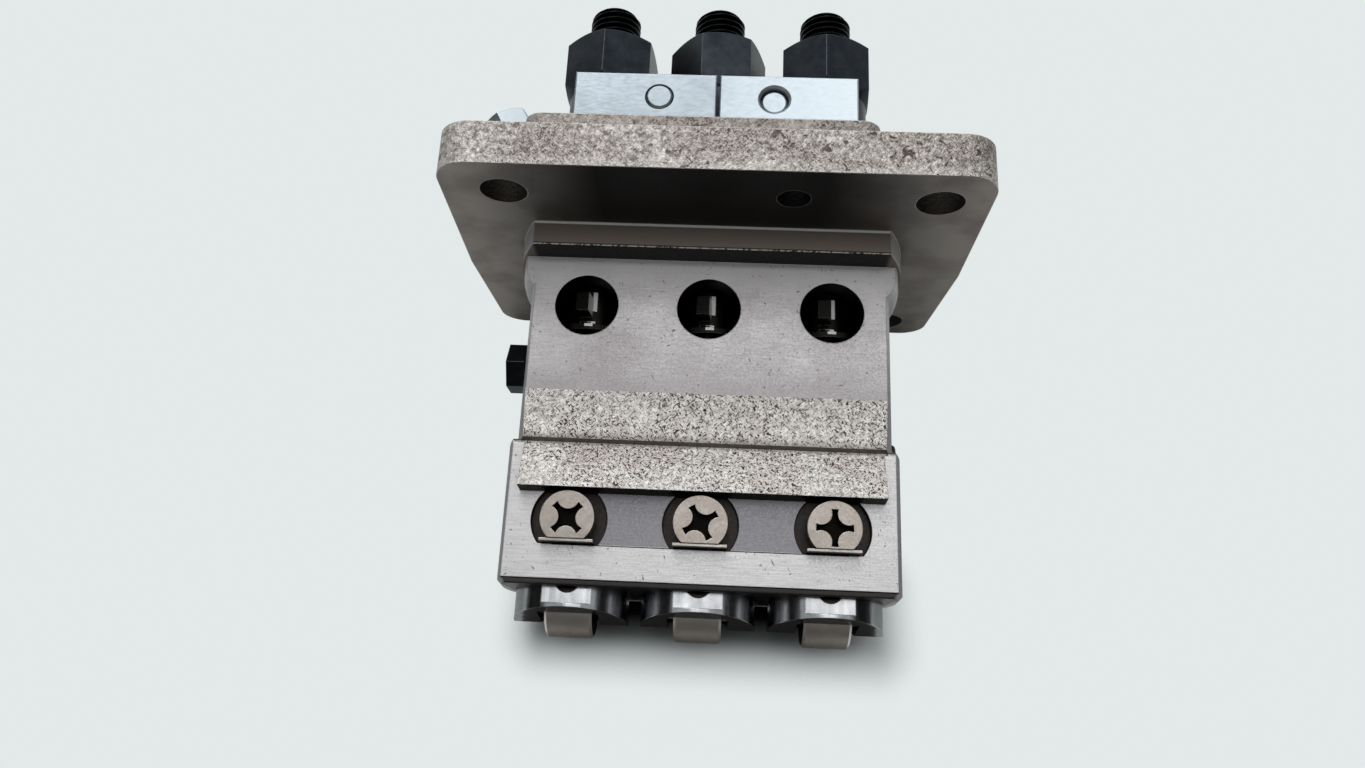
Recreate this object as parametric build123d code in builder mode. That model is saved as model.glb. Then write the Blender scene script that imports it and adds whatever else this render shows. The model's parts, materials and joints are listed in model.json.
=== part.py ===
"""Three-plunger in-line diesel injection pump, modelled upright.

Millimetres. The origin is on the middle plunger's axis, in the plane of the mounting flange's underside.
+X runs along the row of plungers, +Y towards the control rack, +Z towards the delivery unions.
"""

import os
from math import cos, radians, sin, tan

from build123d import *

os.makedirs("parts", exist_ok=True)

# ---------------------------------------------------------------- driving dimensions
PITCH = 25.4  # between neighbouring plungers
LINES = [(1, -PITCH), (2, 0.0), (3, PITCH)]  # number and x of each pumping line

# mounting flange
FLANGE_T = 8.9
FLANGE_X = 0.4  # the flange sits a little to the right of the middle plunger
FLANGE_FRONT, FLANGE_REAR = -42.4, 39.2
FLANGE_HALF_FRONT, FLANGE_HALF_MID, FLANGE_HALF_REAR = 52.9, 55.2, 54.2
BOLT_X, BOLT_Y = 1.6, -0.4  # middle of the four mounting holes
BOLT_DX, BOLT_DY, BOLT_R = 84.6, 63.0, 4.65
JACK_X, JACK_Y, JACK_R = 15.8, -32.0, 3.3  # small threaded hole for lifting the pump off its seat

# turned body under the flange
SPIGOT_R, SPIGOT_DEPTH, SPIGOT_FLAT = 41.5, 5.3, 19.6
SHOULDER_R, SHOULDER_Z = 40.9, -8.0
WAIST_R, WAIST_Z = 38.9, -12.0
LOWER_R, LOWER_TOP, LOWER_BOTTOM = 40.4, -45.4, -73.3
FACE_Y = -13.4  # machined front face with the windows
LOWER_FACE_Y = -14.6
BACK_Y = 17.5
BODY_CHAMFER = 1.1

# two cast ribs across the front: (y at the top, z at the top, y at the foot, z at the foot)
RIB_UPPER = (FACE_Y, -34.4, -15.5, -45.0)
RIB_LOWER = (-14.4, -45.6, -18.5, -55.2)
RIB_HALF = 35.4  # the lower rib's ends are cut square

# deck above the flange
DECK_TOP = 28.2
DECK_LEFT, DECK_RIGHT, DECK_HALF_Y, DECK_CORNER = -42.5, 36.3, 15.6, 4.5

# bores on each pumping line
WINDOW_Z, WINDOW_R = -15.9, 6.6
UNION_THREAD_R, SEAL_BORE_R, SEAL_FLOOR = 8.5, 9.5, 25.2
HEAD_R, HEAD_FLOOR = 8.0, -1.0
SLEEVE_ROOM_R, SLEEVE_ROOM_TOP = 8.6, -2.5
SPRING_ROOM_R, SPRING_ROOM_TOP = 10.9, -19.0
TAPPET_R, TAPPET_CLEAR, TAPPET_BORE_TOP = 11.53, 0.04, -44.5

# barrel and plunger
BARREL_R, BARREL_FOOT, BARREL_TOP = 5.6, -10.5, 6.0
PLUNGER_R, PLUNGER_CLEAR, PLUNGER_TOP = 3.0, 0.02, -1.2
PORT_Z, PORT_R = 1.0, 1.2  # fill port, open while the plunger is down
VANE_TIP, VANE_W, VANE_Z, VANE_H = 6.3, 2.0, -18.9, 1.6
STEM_R, FOOT_R, FOOT_T = 2.2, 3.6, 1.6

# control sleeve and rack
SLEEVE_R, SLEEVE_TOP, SLEEVE_FOOT, SLEEVE_CLEAR = 7.2, -3.0, -20.8, 0.04
SLEEVE_TURN = -6.4  # degrees at rest, seen from above
LUG_W, LUG_REACH, LUG_TOP, LUG_FOOT = 2.7, 11.2, -12.2, -16.2
LUG_ROOM, LUG_SWING, FINGER_SWING = 0.8, 13.4, 14.6  # room round the lug, and widths that lug and finger swing in
FINGER_REACH, FINGER_R, FINGER_BALL_R = 12.2, 1.2, 1.5
RACK_Y, RACK_Z, RACK_R, RACK_CLEAR, RACK_HALF = 12.5, -15.9, 3.5, 0.05, 29.1
RACK_REST = -FINGER_REACH * sin(radians(SLEEVE_TURN))
RACK_BACK, RACK_AHEAD = 6.3, 3.7  # travel each way from rest
NOTCH_W, NOTCH_DEPTH = 3.4, 5.2
RACK_FLAT_Y, RACK_FLAT_W = 10.8, 8.4  # flat milled on the rack's front round each notch, for the finger's swing
PIN_X, PIN_R, PIN_TIP = 12.7, 2.5, 25.0  # drive pin of the rack
PIN_ROOT_R, PIN_SHOULDER_Y = 2.9, 18.5  # thicker root of the drive pin

# tappet, roller, return spring
TAPPET_RIM, TAPPET_FLOOR, TAPPET_RIDGE = -52.0, -56.0, -79.6
TAPPET_SLOPE = 0.21  # rise of the underside away from the ridge, for cam clearance
CUP_R = 10.4
SLOT_HALF_X, SLOT_HALF_Y, SLOT_TOP = 5.9, 7.6, -67.4
ROLLER_R, ROLLER_W, ROLLER_Z, ROLLER_BORE_CLEAR = 7.2, 9.4, -75.1, 0.04
AXLE_R, AXLE_HALF = 2.75, 10.9
SEAT_R, SEAT_T = 10.2, 3.0
SPRING_MEAN_R, SPRING_WIRE_R, SPRING_TURNS = 9.0, 1.2, 5.5
UPPER_SEAT_R, UPPER_SEAT_BORE, UPPER_SEAT_T = 10.8, 7.5, 1.2

# guide screws with their lock plates
SCREW_Z, SCREW_HEAD_R, SCREW_HEAD_Y = -61.0, 5.2, -17.6
SCREW_SHANK_R, SCREW_TIP_R, SCREW_TIP_Y = 2.9, 2.4, -9.6
SCREW_FLAT = 3.9  # from the axis down to the flat on the head
SCREW_TURNS = (45, 30, 0)  # degrees, as tightened
POCKET_R, POCKET_FLOOR, POCKET_DEPTH = 7.35, -13.2, 12.0
STEP_TOP, STEP_FOOT, STEP_DEPTH, STEP_HALF = RIB_LOWER[3] - 0.4, -65.7, 0.35, 28.4  # milled step with the pockets
RECESS_R, RECESS_CORNER, RECESS_HOLLOW_R, RECESS_DEPTH = 3.55, 2.66, 2.13, 2.4  # cross recess of the head
PLATE_T, TAB_W = 0.5, 10.3
GUIDE_W, GUIDE_TOP, GUIDE_FOOT, GUIDE_FLOOR = 4.9, -58.5, -74.4, -8.9
GUIDE_FLAT_W, GUIDE_FLAT_Y, GUIDE_FLAT_FOOT = 9.6, -10.5, -76.4  # milled flat round the guide slot

# delivery valve, its holder and the clamps
VALVE_SEAT_TOP, VALVE_BOSS_R, VALVE_BODY_BORE, GASKET_T = 16.0, 4.9, 3.0, 1.2
VALVE_R, VALVE_CONE_R, VALVE_PEG_R, VALVE_FOOT = 2.95, 3.9, 1.7, 7.5
VALVE_SPRING_MEAN_R, VALVE_SPRING_WIRE_R, VALVE_SPRING_TURNS = 3.2, 0.55, 5
HOLDER_RELIEF, SEAL_CLEAR = 0.8, 0.03
HOLDER_FOOT = BARREL_TOP + 4.0 + GASKET_T
HOLDER_ROOM_R, HOLDER_ROOM_TOP, HOLDER_BORE_R = 5.4, 31.0, 1.25
NECK_R, HEX_FOOT, HEX_TOP, HEX_FLATS = 9.5, 40.0, 55.3, 19.8
HEX_CONE_FOOT, HEX_CONE_TOP, HEX_CONE_IN = 2.6, 1.9, 3.2  # turned ends of the hexagon
HEX_TURNS = (24.5, 10.0, 25.5)  # degrees, as tightened
NIPPLE_R, NIPPLE_TOP, CONE_R = 6.0, 64.2, 4.2
CLAMP_FRONT, CLAMP_INNER, CLAMP_TOP = 15.2, 1.2, 39.2
CLAMP_SPANS = {"left": (-31.6, -0.1, -12.7), "right": (0.6, 31.1, 12.7)}  # x from, x to, bolt x
CLAMP_BOLT_Z, CLAMP_BOLT_R, CLAMP_HOLE_R = 33.2, 2.98, 3.18
CLAMP_BOLT_ENDS = {"left": -15.5, "right": -14.1}  # y of the front ends
WASHER_R, WASHER_T, BOLT_FLATS, BOLT_HEAD_T = 4.95, 1.2, 10.0, 4.0

# fuel gallery and inlet union, which leans outwards from the deck's left shoulder
GALLERY_Y, GALLERY_Z, GALLERY_R, GALLERY_END = 8.0, 2.4, 2.2, -36.5
INLET_LEAN = radians(28)
INLET_THREAD_R, INLET_BORE_R, INLET_DEPTH, INLET_BOSS_R, INLET_BOSS_L = 3.9, 2.2, 24.0, 6.8, 18.0
INLET_THREAD_L, INLET_COLLAR_R, INLET_COLLAR_T = 8.0, 5.6, 0.8
INLET_FLATS, INLET_HEX_FOOT, INLET_HEX_TOP, INLET_TURN = 11.0, 2.6, 10.5, 20
INLET_CONE, INLET_NECK_R = 0.9, 4.6  # chamfer of the hexagon's end, and the neck under it
INLET_SOCKET_R, INLET_SOCKET_DEPTH, INLET_DRILL_R = 3.4, 7.0, 1.9
INLET_PLANE = Plane(
    origin=(-45.0, 0, 25.5),
    x_dir=(cos(INLET_LEAN), 0, sin(INLET_LEAN)),
    z_dir=(-sin(INLET_LEAN), 0, cos(INLET_LEAN)),
)

# plugs in the body's ends
SIDE_PLUG_Z, SIDE_PLUG_THREAD_R, SIDE_PLUG_FLATS, SIDE_PLUG_HEAD = -26.2, 2.9, 9.4, 4.0
CUP_PLUG_X, CUP_PLUG_T = 34.4, 1.0
DRAIN_Z, DRAIN_HEAD_R, DRAIN_SHANK_R, DRAIN_SHANK_X, DRAIN_TOP_X = -42.5, 2.3, 1.5, 36.8, 40.0


def side_plane(x):
    """Upright plane through a pumping line: its x is the radius, its y the height."""
    return Plane(origin=(x, 0, 0), x_dir=(1, 0, 0), z_dir=(0, -1, 0))


def face_plane(y):
    """Plane parallel to the front face: its x is X, its y is Z, and its normal points to the front."""
    return Plane(origin=(0, y, 0), x_dir=(1, 0, 0), z_dir=(0, -1, 0))


def line_axis(x):
    """Axis of the pumping line at x."""
    return Axis((x, 0, 0), (0, 0, 1))


def turned(x, profile):
    """A piece turned about the pumping line at x, from (radius, height) points."""
    with BuildPart() as piece:
        with BuildSketch(side_plane(x)):
            with BuildLine():
                Polyline(*profile, close=True)
            make_face()
        revolve(axis=line_axis(x))
    return piece.part


def save(piece, name):
    """Label a finished piece and write its STEP file."""
    piece.part.label = name
    export_step(piece.part, f"parts/{name}.step")


# ---------------------------------------------------------------- pump housing
def make_housing():
    """Iron casting: a turned body with flats front and back, the flange, the deck and every bore."""
    with BuildPart() as pump_housing:
        # turned outline: locating spigot, shoulder, cove, waist, wider lower block
        with BuildSketch(Plane.XZ):
            with BuildLine():
                Polyline(
                    (WAIST_R, WAIST_Z),
                    (WAIST_R, LOWER_TOP),
                    (LOWER_R, LOWER_TOP),
                    (LOWER_R, LOWER_BOTTOM + BODY_CHAMFER),
                    (LOWER_R - BODY_CHAMFER, LOWER_BOTTOM),
                    (0, LOWER_BOTTOM),
                    (0, 0),
                    (SPIGOT_R, 0),
                    (SPIGOT_R, -SPIGOT_DEPTH),
                    (SHOULDER_R, -SPIGOT_DEPTH),
                    (SHOULDER_R, SHOULDER_Z),
                )
                RadiusArc((SHOULDER_R, SHOULDER_Z), (WAIST_R, WAIST_Z), 6.0)
            make_face()
        revolve(axis=Axis.Z)

        # side profile: collar, machined face, two cast ribs, lower face, flat back
        with BuildSketch(Plane.YZ) as side_profile:
            with BuildLine():
                Polyline(
                    (-SPIGOT_FLAT, 0),
                    (-SPIGOT_FLAT, -SPIGOT_DEPTH),
                    (FACE_Y, -SPIGOT_DEPTH),
                    (RIB_UPPER[0], RIB_UPPER[1]),
                    (RIB_UPPER[2], RIB_UPPER[3]),
                    (RIB_LOWER[0], RIB_LOWER[1]),
                    (RIB_LOWER[2], RIB_LOWER[3]),
                    (LOWER_FACE_Y, STEP_TOP),
                    (LOWER_FACE_Y, LOWER_BOTTOM + BODY_CHAMFER),
                    (LOWER_FACE_Y + BODY_CHAMFER, LOWER_BOTTOM),
                    (BACK_Y - BODY_CHAMFER, LOWER_BOTTOM),
                    (BACK_Y, LOWER_BOTTOM + BODY_CHAMFER),
                    (BACK_Y, -SPIGOT_DEPTH),
                    (SPIGOT_FLAT, -SPIGOT_DEPTH),
                    (SPIGOT_FLAT, 0),
                    close=True,
                )
            make_face()
        extrude(amount=SPIGOT_R + 5, both=True, mode=Mode.INTERSECT)

        # flange plate, six-sided with rounded corners
        with BuildSketch(Plane.XY) as flange_outline:
            with BuildLine():
                Polyline(
                    (FLANGE_X - FLANGE_HALF_FRONT, FLANGE_FRONT),
                    (FLANGE_X + FLANGE_HALF_FRONT, FLANGE_FRONT),
                    (FLANGE_X + FLANGE_HALF_MID, 2),
                    (FLANGE_X + FLANGE_HALF_REAR, FLANGE_REAR),
                    (FLANGE_X - FLANGE_HALF_REAR, FLANGE_REAR),
                    (FLANGE_X - FLANGE_HALF_MID, 2),
                    close=True,
                )
            make_face()
            fillet(flange_outline.vertices().group_by(Axis.Y)[0], radius=7.0)
            fillet(flange_outline.vertices().group_by(Axis.Y)[-1], radius=6.0)
        extrude(amount=FLANGE_T)

        # deck that carries the delivery unions
        with BuildSketch(Plane.XY.offset(FLANGE_T)):
            with Locations(((DECK_LEFT + DECK_RIGHT) / 2, 0)):
                RectangleRounded(DECK_RIGHT - DECK_LEFT, 2 * DECK_HALF_Y, DECK_CORNER)
        extrude(amount=DECK_TOP - FLANGE_T)

        # inlet boss, from the deck's root out to the union's face
        with BuildSketch(INLET_PLANE):
            Circle(INLET_BOSS_R)
        extrude(amount=-INLET_BOSS_L)

        # shallow milled step between the guide screws
        with BuildSketch(face_plane(LOWER_FACE_Y + STEP_DEPTH)):
            with Locations((0, (STEP_TOP + STEP_FOOT) / 2)):
                Rectangle(2 * STEP_HALF, STEP_TOP - STEP_FOOT)
        extrude(amount=2 * STEP_DEPTH, mode=Mode.SUBTRACT)

        # square ends of the lower rib
        with BuildSketch(face_plane(LOWER_FACE_Y)):
            with Locations((0, (RIB_LOWER[1] + STEP_TOP) / 2)):
                Rectangle(2 * LOWER_R, RIB_LOWER[1] - STEP_TOP)
                Rectangle(2 * RIB_HALF, RIB_LOWER[1] - STEP_TOP, mode=Mode.SUBTRACT)
        extrude(amount=LOWER_FACE_Y - RIB_LOWER[2] + 1.0, mode=Mode.SUBTRACT)

        # mounting holes and the jacking hole
        with Locations((BOLT_X, BOLT_Y, FLANGE_T)):
            with GridLocations(BOLT_DX, BOLT_DY, 2, 2):
                Hole(BOLT_R, depth=FLANGE_T)
        with Locations((JACK_X, JACK_Y, FLANGE_T)):
            Hole(JACK_R, depth=FLANGE_T)

        # stepped bore of each pumping line, from the deck down to the tappet
        for _, x in LINES:
            bore = [
                (0, DECK_TOP),
                (SEAL_BORE_R, DECK_TOP),
                (SEAL_BORE_R, SEAL_FLOOR),
                (UNION_THREAD_R, SEAL_FLOOR),
                (UNION_THREAD_R, HOLDER_FOOT - 1.0),
                (HEAD_R, HOLDER_FOOT - 1.0),
                (HEAD_R, HEAD_FLOOR),
                (BARREL_R + 0.1, HEAD_FLOOR),
                (BARREL_R + 0.1, SLEEVE_ROOM_TOP),
                (SLEEVE_ROOM_R, SLEEVE_ROOM_TOP),
                (SLEEVE_ROOM_R, SPRING_ROOM_TOP),
                (SPRING_ROOM_R, SPRING_ROOM_TOP),
                (SPRING_ROOM_R, TAPPET_BORE_TOP),
                (TAPPET_R + TAPPET_CLEAR, TAPPET_BORE_TOP),
                (TAPPET_R + TAPPET_CLEAR, LOWER_BOTTOM),
                (0, LOWER_BOTTOM),
            ]
            add(turned(x, bore), mode=Mode.SUBTRACT)

            # window, and room for the sleeve's lug and finger to swing
            with BuildSketch(face_plane(FACE_Y)):
                with Locations((x, WINDOW_Z)):
                    Circle(WINDOW_R)
            extrude(amount=FACE_Y, mode=Mode.SUBTRACT)
            with BuildSketch(face_plane(-LUG_REACH - LUG_ROOM)):
                with Locations((x, (LUG_TOP + LUG_FOOT) / 2)):
                    Rectangle(LUG_SWING, LUG_TOP - LUG_FOOT + 2 * LUG_ROOM)
            extrude(amount=SLEEVE_ROOM_R / 2 - LUG_REACH, mode=Mode.SUBTRACT)
            with BuildSketch(face_plane(RACK_Y)):
                with Locations((x, RACK_Z)):
                    Rectangle(FINGER_SWING, 2 * FINGER_BALL_R + 1.0)
            extrude(amount=RACK_Y - SLEEVE_ROOM_R / 2, mode=Mode.SUBTRACT)

            # guide screw hole and its pocket, which ends at the step's edges
            with BuildSketch(face_plane(POCKET_FLOOR)):
                with Locations((x, SCREW_Z)):
                    Circle(POCKET_R)
                with Locations((x, (STEP_TOP + STEP_FOOT) / 2)):
                    Rectangle(2 * POCKET_R, STEP_TOP - STEP_FOOT, mode=Mode.INTERSECT)
            extrude(amount=POCKET_DEPTH, mode=Mode.SUBTRACT)
            with BuildSketch(face_plane(POCKET_FLOOR)):
                with Locations((x, SCREW_Z)):
                    Circle(SCREW_SHANK_R + 0.05)
            extrude(amount=-5.0, mode=Mode.SUBTRACT)

        # bore of the control rack, with the slot for its drive pin
        with BuildSketch(Plane.YZ):
            with Locations((RACK_Y, RACK_Z)):
                Circle(RACK_R + RACK_CLEAR)
        extrude(amount=SPIGOT_R, both=True, mode=Mode.SUBTRACT)
        with BuildSketch(face_plane(BACK_Y + 1)):
            with Locations((PIN_X + RACK_REST + (RACK_AHEAD - RACK_BACK) / 2, RACK_Z)):
                SlotOverall(RACK_BACK + RACK_AHEAD + 2 * PIN_ROOT_R + 2.0, 2 * PIN_ROOT_R + 0.6)
        extrude(amount=BACK_Y + 1 - RACK_Y, mode=Mode.SUBTRACT)

        # fuel gallery behind the barrels, joined to the inlet by a cross drilling
        with BuildSketch(Plane.YZ.offset(PITCH + 4)):
            with Locations((GALLERY_Y, GALLERY_Z)):
                Circle(GALLERY_R)
        extrude(amount=GALLERY_END - PITCH - 4, mode=Mode.SUBTRACT)
        with BuildSketch(Plane.XZ.offset(-GALLERY_Y)):
            with Locations((GALLERY_END, GALLERY_Z + 2)):
                Circle(GALLERY_R)
        extrude(amount=GALLERY_Y + 1, mode=Mode.SUBTRACT)

        # spot face and threaded seat of the inlet union, and the side plug's seat
        with BuildSketch(INLET_PLANE):
            Circle(INLET_BOSS_R)
        extrude(amount=INLET_HEX_FOOT + INLET_BOSS_R / 2, mode=Mode.SUBTRACT)
        with BuildSketch(INLET_PLANE):
            Circle(INLET_THREAD_R)
        extrude(amount=-INLET_THREAD_L - 0.5, mode=Mode.SUBTRACT)
        with BuildSketch(INLET_PLANE):
            Circle(INLET_BORE_R)
        extrude(amount=-INLET_DEPTH, mode=Mode.SUBTRACT)
        with BuildSketch(Plane.YZ.offset(-WAIST_R - 1)):
            with Locations((0, SIDE_PLUG_Z)):
                Circle(SIDE_PLUG_THREAD_R)
        extrude(amount=WAIST_R + 1 - PITCH - SPRING_ROOM_R + 0.5, mode=Mode.SUBTRACT)

        # blind hole and spot face of the drain plug in the right end
        for radius, floor_x in ((DRAIN_SHANK_R, DRAIN_SHANK_X), (DRAIN_HEAD_R, WAIST_R - 0.1)):
            with BuildSketch(Plane.YZ.offset(floor_x)):
                with Locations((0, DRAIN_Z)):
                    Circle(radius)
            extrude(amount=WAIST_R + 1 - floor_x, mode=Mode.SUBTRACT)
    save(pump_housing, "pump_housing")


# ---------------------------------------------------------------- pumping element
def make_barrel(number, x):
    """Barrel: a thick head seated in the housing and a thin skirt that carries the control sleeve."""
    with BuildPart() as barrel:
        add(turned(x, [
            (PLUNGER_R + PLUNGER_CLEAR, BARREL_FOOT),
            (BARREL_R - 0.4, BARREL_FOOT),
            (BARREL_R, BARREL_FOOT + 0.4),
            (BARREL_R, HEAD_FLOOR),
            (HEAD_R - 0.05, HEAD_FLOOR),
            (HEAD_R - 0.05, BARREL_TOP),
            (PLUNGER_R + PLUNGER_CLEAR, BARREL_TOP),
        ]))
        # fill port, from the head's outside into the bore
        with BuildSketch(Plane(origin=(x, HEAD_R, PORT_Z), x_dir=(1, 0, 0), z_dir=(0, 1, 0))):
            Circle(PORT_R)
        extrude(amount=-HEAD_R, mode=Mode.SUBTRACT)
    save(barrel, f"barrel_{number}")


def make_plunger(number, x):
    """Plunger with its spill helix and groove, two turning vanes, and a foot for the spring seat."""
    groove_z = PLUNGER_TOP - 5.8
    with BuildPart() as plunger:
        add(turned(x, [
            (0, TAPPET_FLOOR),
            (FOOT_R, TAPPET_FLOOR),
            (FOOT_R, TAPPET_FLOOR + FOOT_T),
            (STEM_R, TAPPET_FLOOR + FOOT_T),
            (STEM_R, VANE_Z - 3.0),
            (PLUNGER_R, VANE_Z - 2.0),
            (PLUNGER_R, groove_z - 0.8),
            (PLUNGER_R - 0.35, groove_z - 0.5),
            (PLUNGER_R - 0.35, groove_z + 0.5),
            (PLUNGER_R, groove_z + 0.8),
            (PLUNGER_R, PLUNGER_TOP),
            (0, PLUNGER_TOP),
        ]))
        with BuildSketch(sleeve_plane(x, VANE_Z - VANE_H / 2)):
            Rectangle(VANE_W, 2 * VANE_TIP)
        extrude(amount=VANE_H)
        # inclined spill edge: a flat pocket with a sloping foot, joined to the top by a slot
        with BuildSketch(Plane(origin=(x, -PLUNGER_R + 0.6, 0), x_dir=(1, 0, 0), z_dir=(0, -1, 0))):
            with BuildLine():
                Polyline((-2.6, groove_z + 1.6), (2.6, groove_z + 4.1), (2.6, groove_z), (-2.6, groove_z), close=True)
            make_face()
            with Locations((-1.9, groove_z + 3.4)):
                Rectangle(0.9, 6.0)
        extrude(amount=2.0, mode=Mode.SUBTRACT)
    save(plunger, f"plunger_{number}")


def sleeve_plane(x, z):
    """Level plane on a pumping line, turned with the control sleeve."""
    turn = radians(SLEEVE_TURN)
    return Plane(origin=(x, 0, z), x_dir=(cos(turn), sin(turn), 0), z_dir=(0, 0, 1))


def make_control_sleeve(number, x):
    """Sleeve that turns the plunger: setting lug at the front, rack finger at the back, two vane slots."""
    with BuildPart() as control_sleeve:
        add(turned(x, [
            (BARREL_R + SLEEVE_CLEAR, SLEEVE_FOOT),
            (SLEEVE_R, SLEEVE_FOOT),
            (SLEEVE_R, SLEEVE_TOP - 0.5),
            (SLEEVE_R - 0.5, SLEEVE_TOP),
            (BARREL_R + SLEEVE_CLEAR, SLEEVE_TOP),
        ]))
        with BuildSketch(sleeve_plane(x, LUG_FOOT)):
            with Locations((0, -(SLEEVE_R - 0.5 + LUG_REACH) / 2)):
                Rectangle(LUG_W, LUG_REACH - SLEEVE_R + 0.5)
        extrude(amount=LUG_TOP - LUG_FOOT)
        # vane slots, cut through the skirt and grooved up the inside
        with BuildSketch(sleeve_plane(x, SLEEVE_FOOT)):
            Rectangle(VANE_W + 0.1, 2 * (VANE_TIP + 0.15))
        extrude(amount=VANE_Z - SLEEVE_FOOT + 9.0, mode=Mode.SUBTRACT)
        with BuildSketch(sleeve_plane(x, SLEEVE_FOOT)):
            Rectangle(VANE_W + 0.1, 2 * (SLEEVE_R + 1))
        extrude(amount=VANE_Z - SLEEVE_FOOT + 1.6, mode=Mode.SUBTRACT)
        # ball-ended finger
        finger = sleeve_plane(x, RACK_Z)
        outward = finger.y_dir
        with BuildSketch(Plane(origin=finger.origin + outward * (SLEEVE_R - 0.6), z_dir=outward)):
            Circle(FINGER_R)
        extrude(amount=FINGER_REACH - SLEEVE_R + 0.6)
        with Locations(finger.origin + outward * FINGER_REACH):
            Sphere(FINGER_BALL_R)
    save(control_sleeve, f"control_sleeve_{number}")


def make_control_rack():
    """Round rack with one notch for each sleeve finger and a drive pin that stands out of the back."""
    with BuildPart() as control_rack:
        with BuildSketch(Plane.YZ.offset(RACK_REST - RACK_HALF)):
            with Locations((RACK_Y, RACK_Z)):
                Circle(RACK_R)
        extrude(amount=2 * RACK_HALF)
        chamfer(control_rack.edges().filter_by(GeomType.CIRCLE), length=0.5)
        for _, x in LINES:
            with BuildSketch(Plane.XY.offset(RACK_Z - RACK_R)):
                with Locations((x + RACK_REST, RACK_Y - RACK_R + NOTCH_DEPTH / 2)):
                    Rectangle(NOTCH_W, NOTCH_DEPTH)
                with Locations((x + RACK_REST, RACK_FLAT_Y - RACK_R / 2)):
                    Rectangle(RACK_FLAT_W, RACK_R)
            extrude(amount=2 * RACK_R, mode=Mode.SUBTRACT)
        for pin_r, pin_end in ((PIN_ROOT_R, PIN_SHOULDER_Y), (PIN_R, PIN_TIP)):
            with BuildSketch(Plane(origin=(PIN_X + RACK_REST, RACK_Y, RACK_Z), z_dir=(0, 1, 0))):
                Circle(pin_r)
            extrude(amount=pin_end - RACK_Y)
        chamfer(control_rack.faces().sort_by(Axis.Y)[-1].edges(), length=0.5)
    save(control_rack, "control_rack")


# ---------------------------------------------------------------- springs
def make_spring(name, x, mean_r, wire_r, foot, top, turns):
    """Round-wire compression spring between two heights, on the pumping line at x."""
    with BuildPart() as spring:
        rise = top - foot - 2 * wire_r
        with BuildLine(Plane(origin=(x, 0, foot + wire_r))):
            coil = Helix(pitch=rise / turns, height=rise, radius=mean_r)
        with BuildSketch(Plane(origin=coil @ 0, z_dir=coil % 0)):
            Circle(wire_r)
        sweep(is_frenet=True)
    save(spring, name)


def make_upper_seat(number, x):
    """Pressed ring between the housing's shoulder and the return spring."""
    with BuildPart() as upper_seat:
        add(turned(x, [
            (UPPER_SEAT_BORE, SPRING_ROOM_TOP - UPPER_SEAT_T),
            (UPPER_SEAT_R, SPRING_ROOM_TOP - UPPER_SEAT_T),
            (UPPER_SEAT_R, SPRING_ROOM_TOP),
            (UPPER_SEAT_BORE, SPRING_ROOM_TOP),
        ]))
    save(upper_seat, f"spring_seat_upper_{number}")


def make_lower_seat(number, x):
    """Dished seat that hooks over the plunger foot and sits in the tappet's cup."""
    with BuildPart() as lower_seat:
        add(turned(x, [
            (FOOT_R + 0.15, TAPPET_FLOOR),
            (SEAT_R, TAPPET_FLOOR),
            (SEAT_R, TAPPET_FLOOR + SEAT_T - 0.4),
            (SEAT_R - 0.4, TAPPET_FLOOR + SEAT_T),
            (STEM_R + 0.15, TAPPET_FLOOR + SEAT_T),
            (STEM_R + 0.15, TAPPET_FLOOR + FOOT_T + 0.05),
            (FOOT_R + 0.15, TAPPET_FLOOR + FOOT_T + 0.05),
        ]))
    save(lower_seat, f"spring_seat_lower_{number}")


# ---------------------------------------------------------------- tappet and roller
def make_tappet(number, x):
    """Ground roller tappet: cup at the top, guide slot in front, roller slot and relieved underside."""
    with BuildPart() as tappet:
        add(turned(x, [
            (0, TAPPET_RIDGE),
            (TAPPET_R, TAPPET_RIDGE),
            (TAPPET_R, TAPPET_RIM - 0.5),
            (TAPPET_R - 0.5, TAPPET_RIM),
            (CUP_R, TAPPET_RIM),
            (CUP_R, TAPPET_FLOOR),
            (0, TAPPET_FLOOR),
        ]))
        # underside sloped up to the front and the back
        rise = TAPPET_SLOPE * (TAPPET_R + 1)
        for side in (-1, 1):
            with BuildSketch(Plane.YZ.offset(x - TAPPET_R - 1)):
                with BuildLine():
                    Polyline(
                        (0, TAPPET_RIDGE),
                        (side * (TAPPET_R + 1), TAPPET_RIDGE + rise),
                        (side * (TAPPET_R + 1), TAPPET_RIDGE - 1),
                        (0, TAPPET_RIDGE - 1),
                        close=True,
                    )
                make_face()
            extrude(amount=2 * TAPPET_R + 2, mode=Mode.SUBTRACT)
        # roller slot
        with BuildSketch(Plane.XY.offset(TAPPET_RIDGE - 1)):
            with Locations((x, 0)):
                Rectangle(2 * SLOT_HALF_X, 2 * SLOT_HALF_Y)
        extrude(amount=SLOT_TOP - TAPPET_RIDGE + 1, mode=Mode.SUBTRACT)
        # guide slot for the screw's tip
        with BuildSketch(face_plane(GUIDE_FLOOR)):
            with Locations((x, (GUIDE_TOP + GUIDE_FOOT) / 2)):
                SlotOverall(GUIDE_TOP - GUIDE_FOOT, GUIDE_W, rotation=90)
        extrude(amount=5.0, mode=Mode.SUBTRACT)
        with BuildSketch(face_plane(GUIDE_FLAT_Y)):
            with Locations((x, (GUIDE_FLAT_FOOT + TAPPET_RIM + 1) / 2)):
                Rectangle(GUIDE_FLAT_W, TAPPET_RIM + 1 - GUIDE_FLAT_FOOT)
        extrude(amount=3.0, mode=Mode.SUBTRACT)
        # cross hole of the roller's axle
        with BuildSketch(Plane.YZ.offset(x - TAPPET_R - 1)):
            with Locations((0, ROLLER_Z)):
                Circle(AXLE_R)
        extrude(amount=2 * TAPPET_R + 2, mode=Mode.SUBTRACT)
    save(tappet, f"tappet_{number}")


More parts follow.
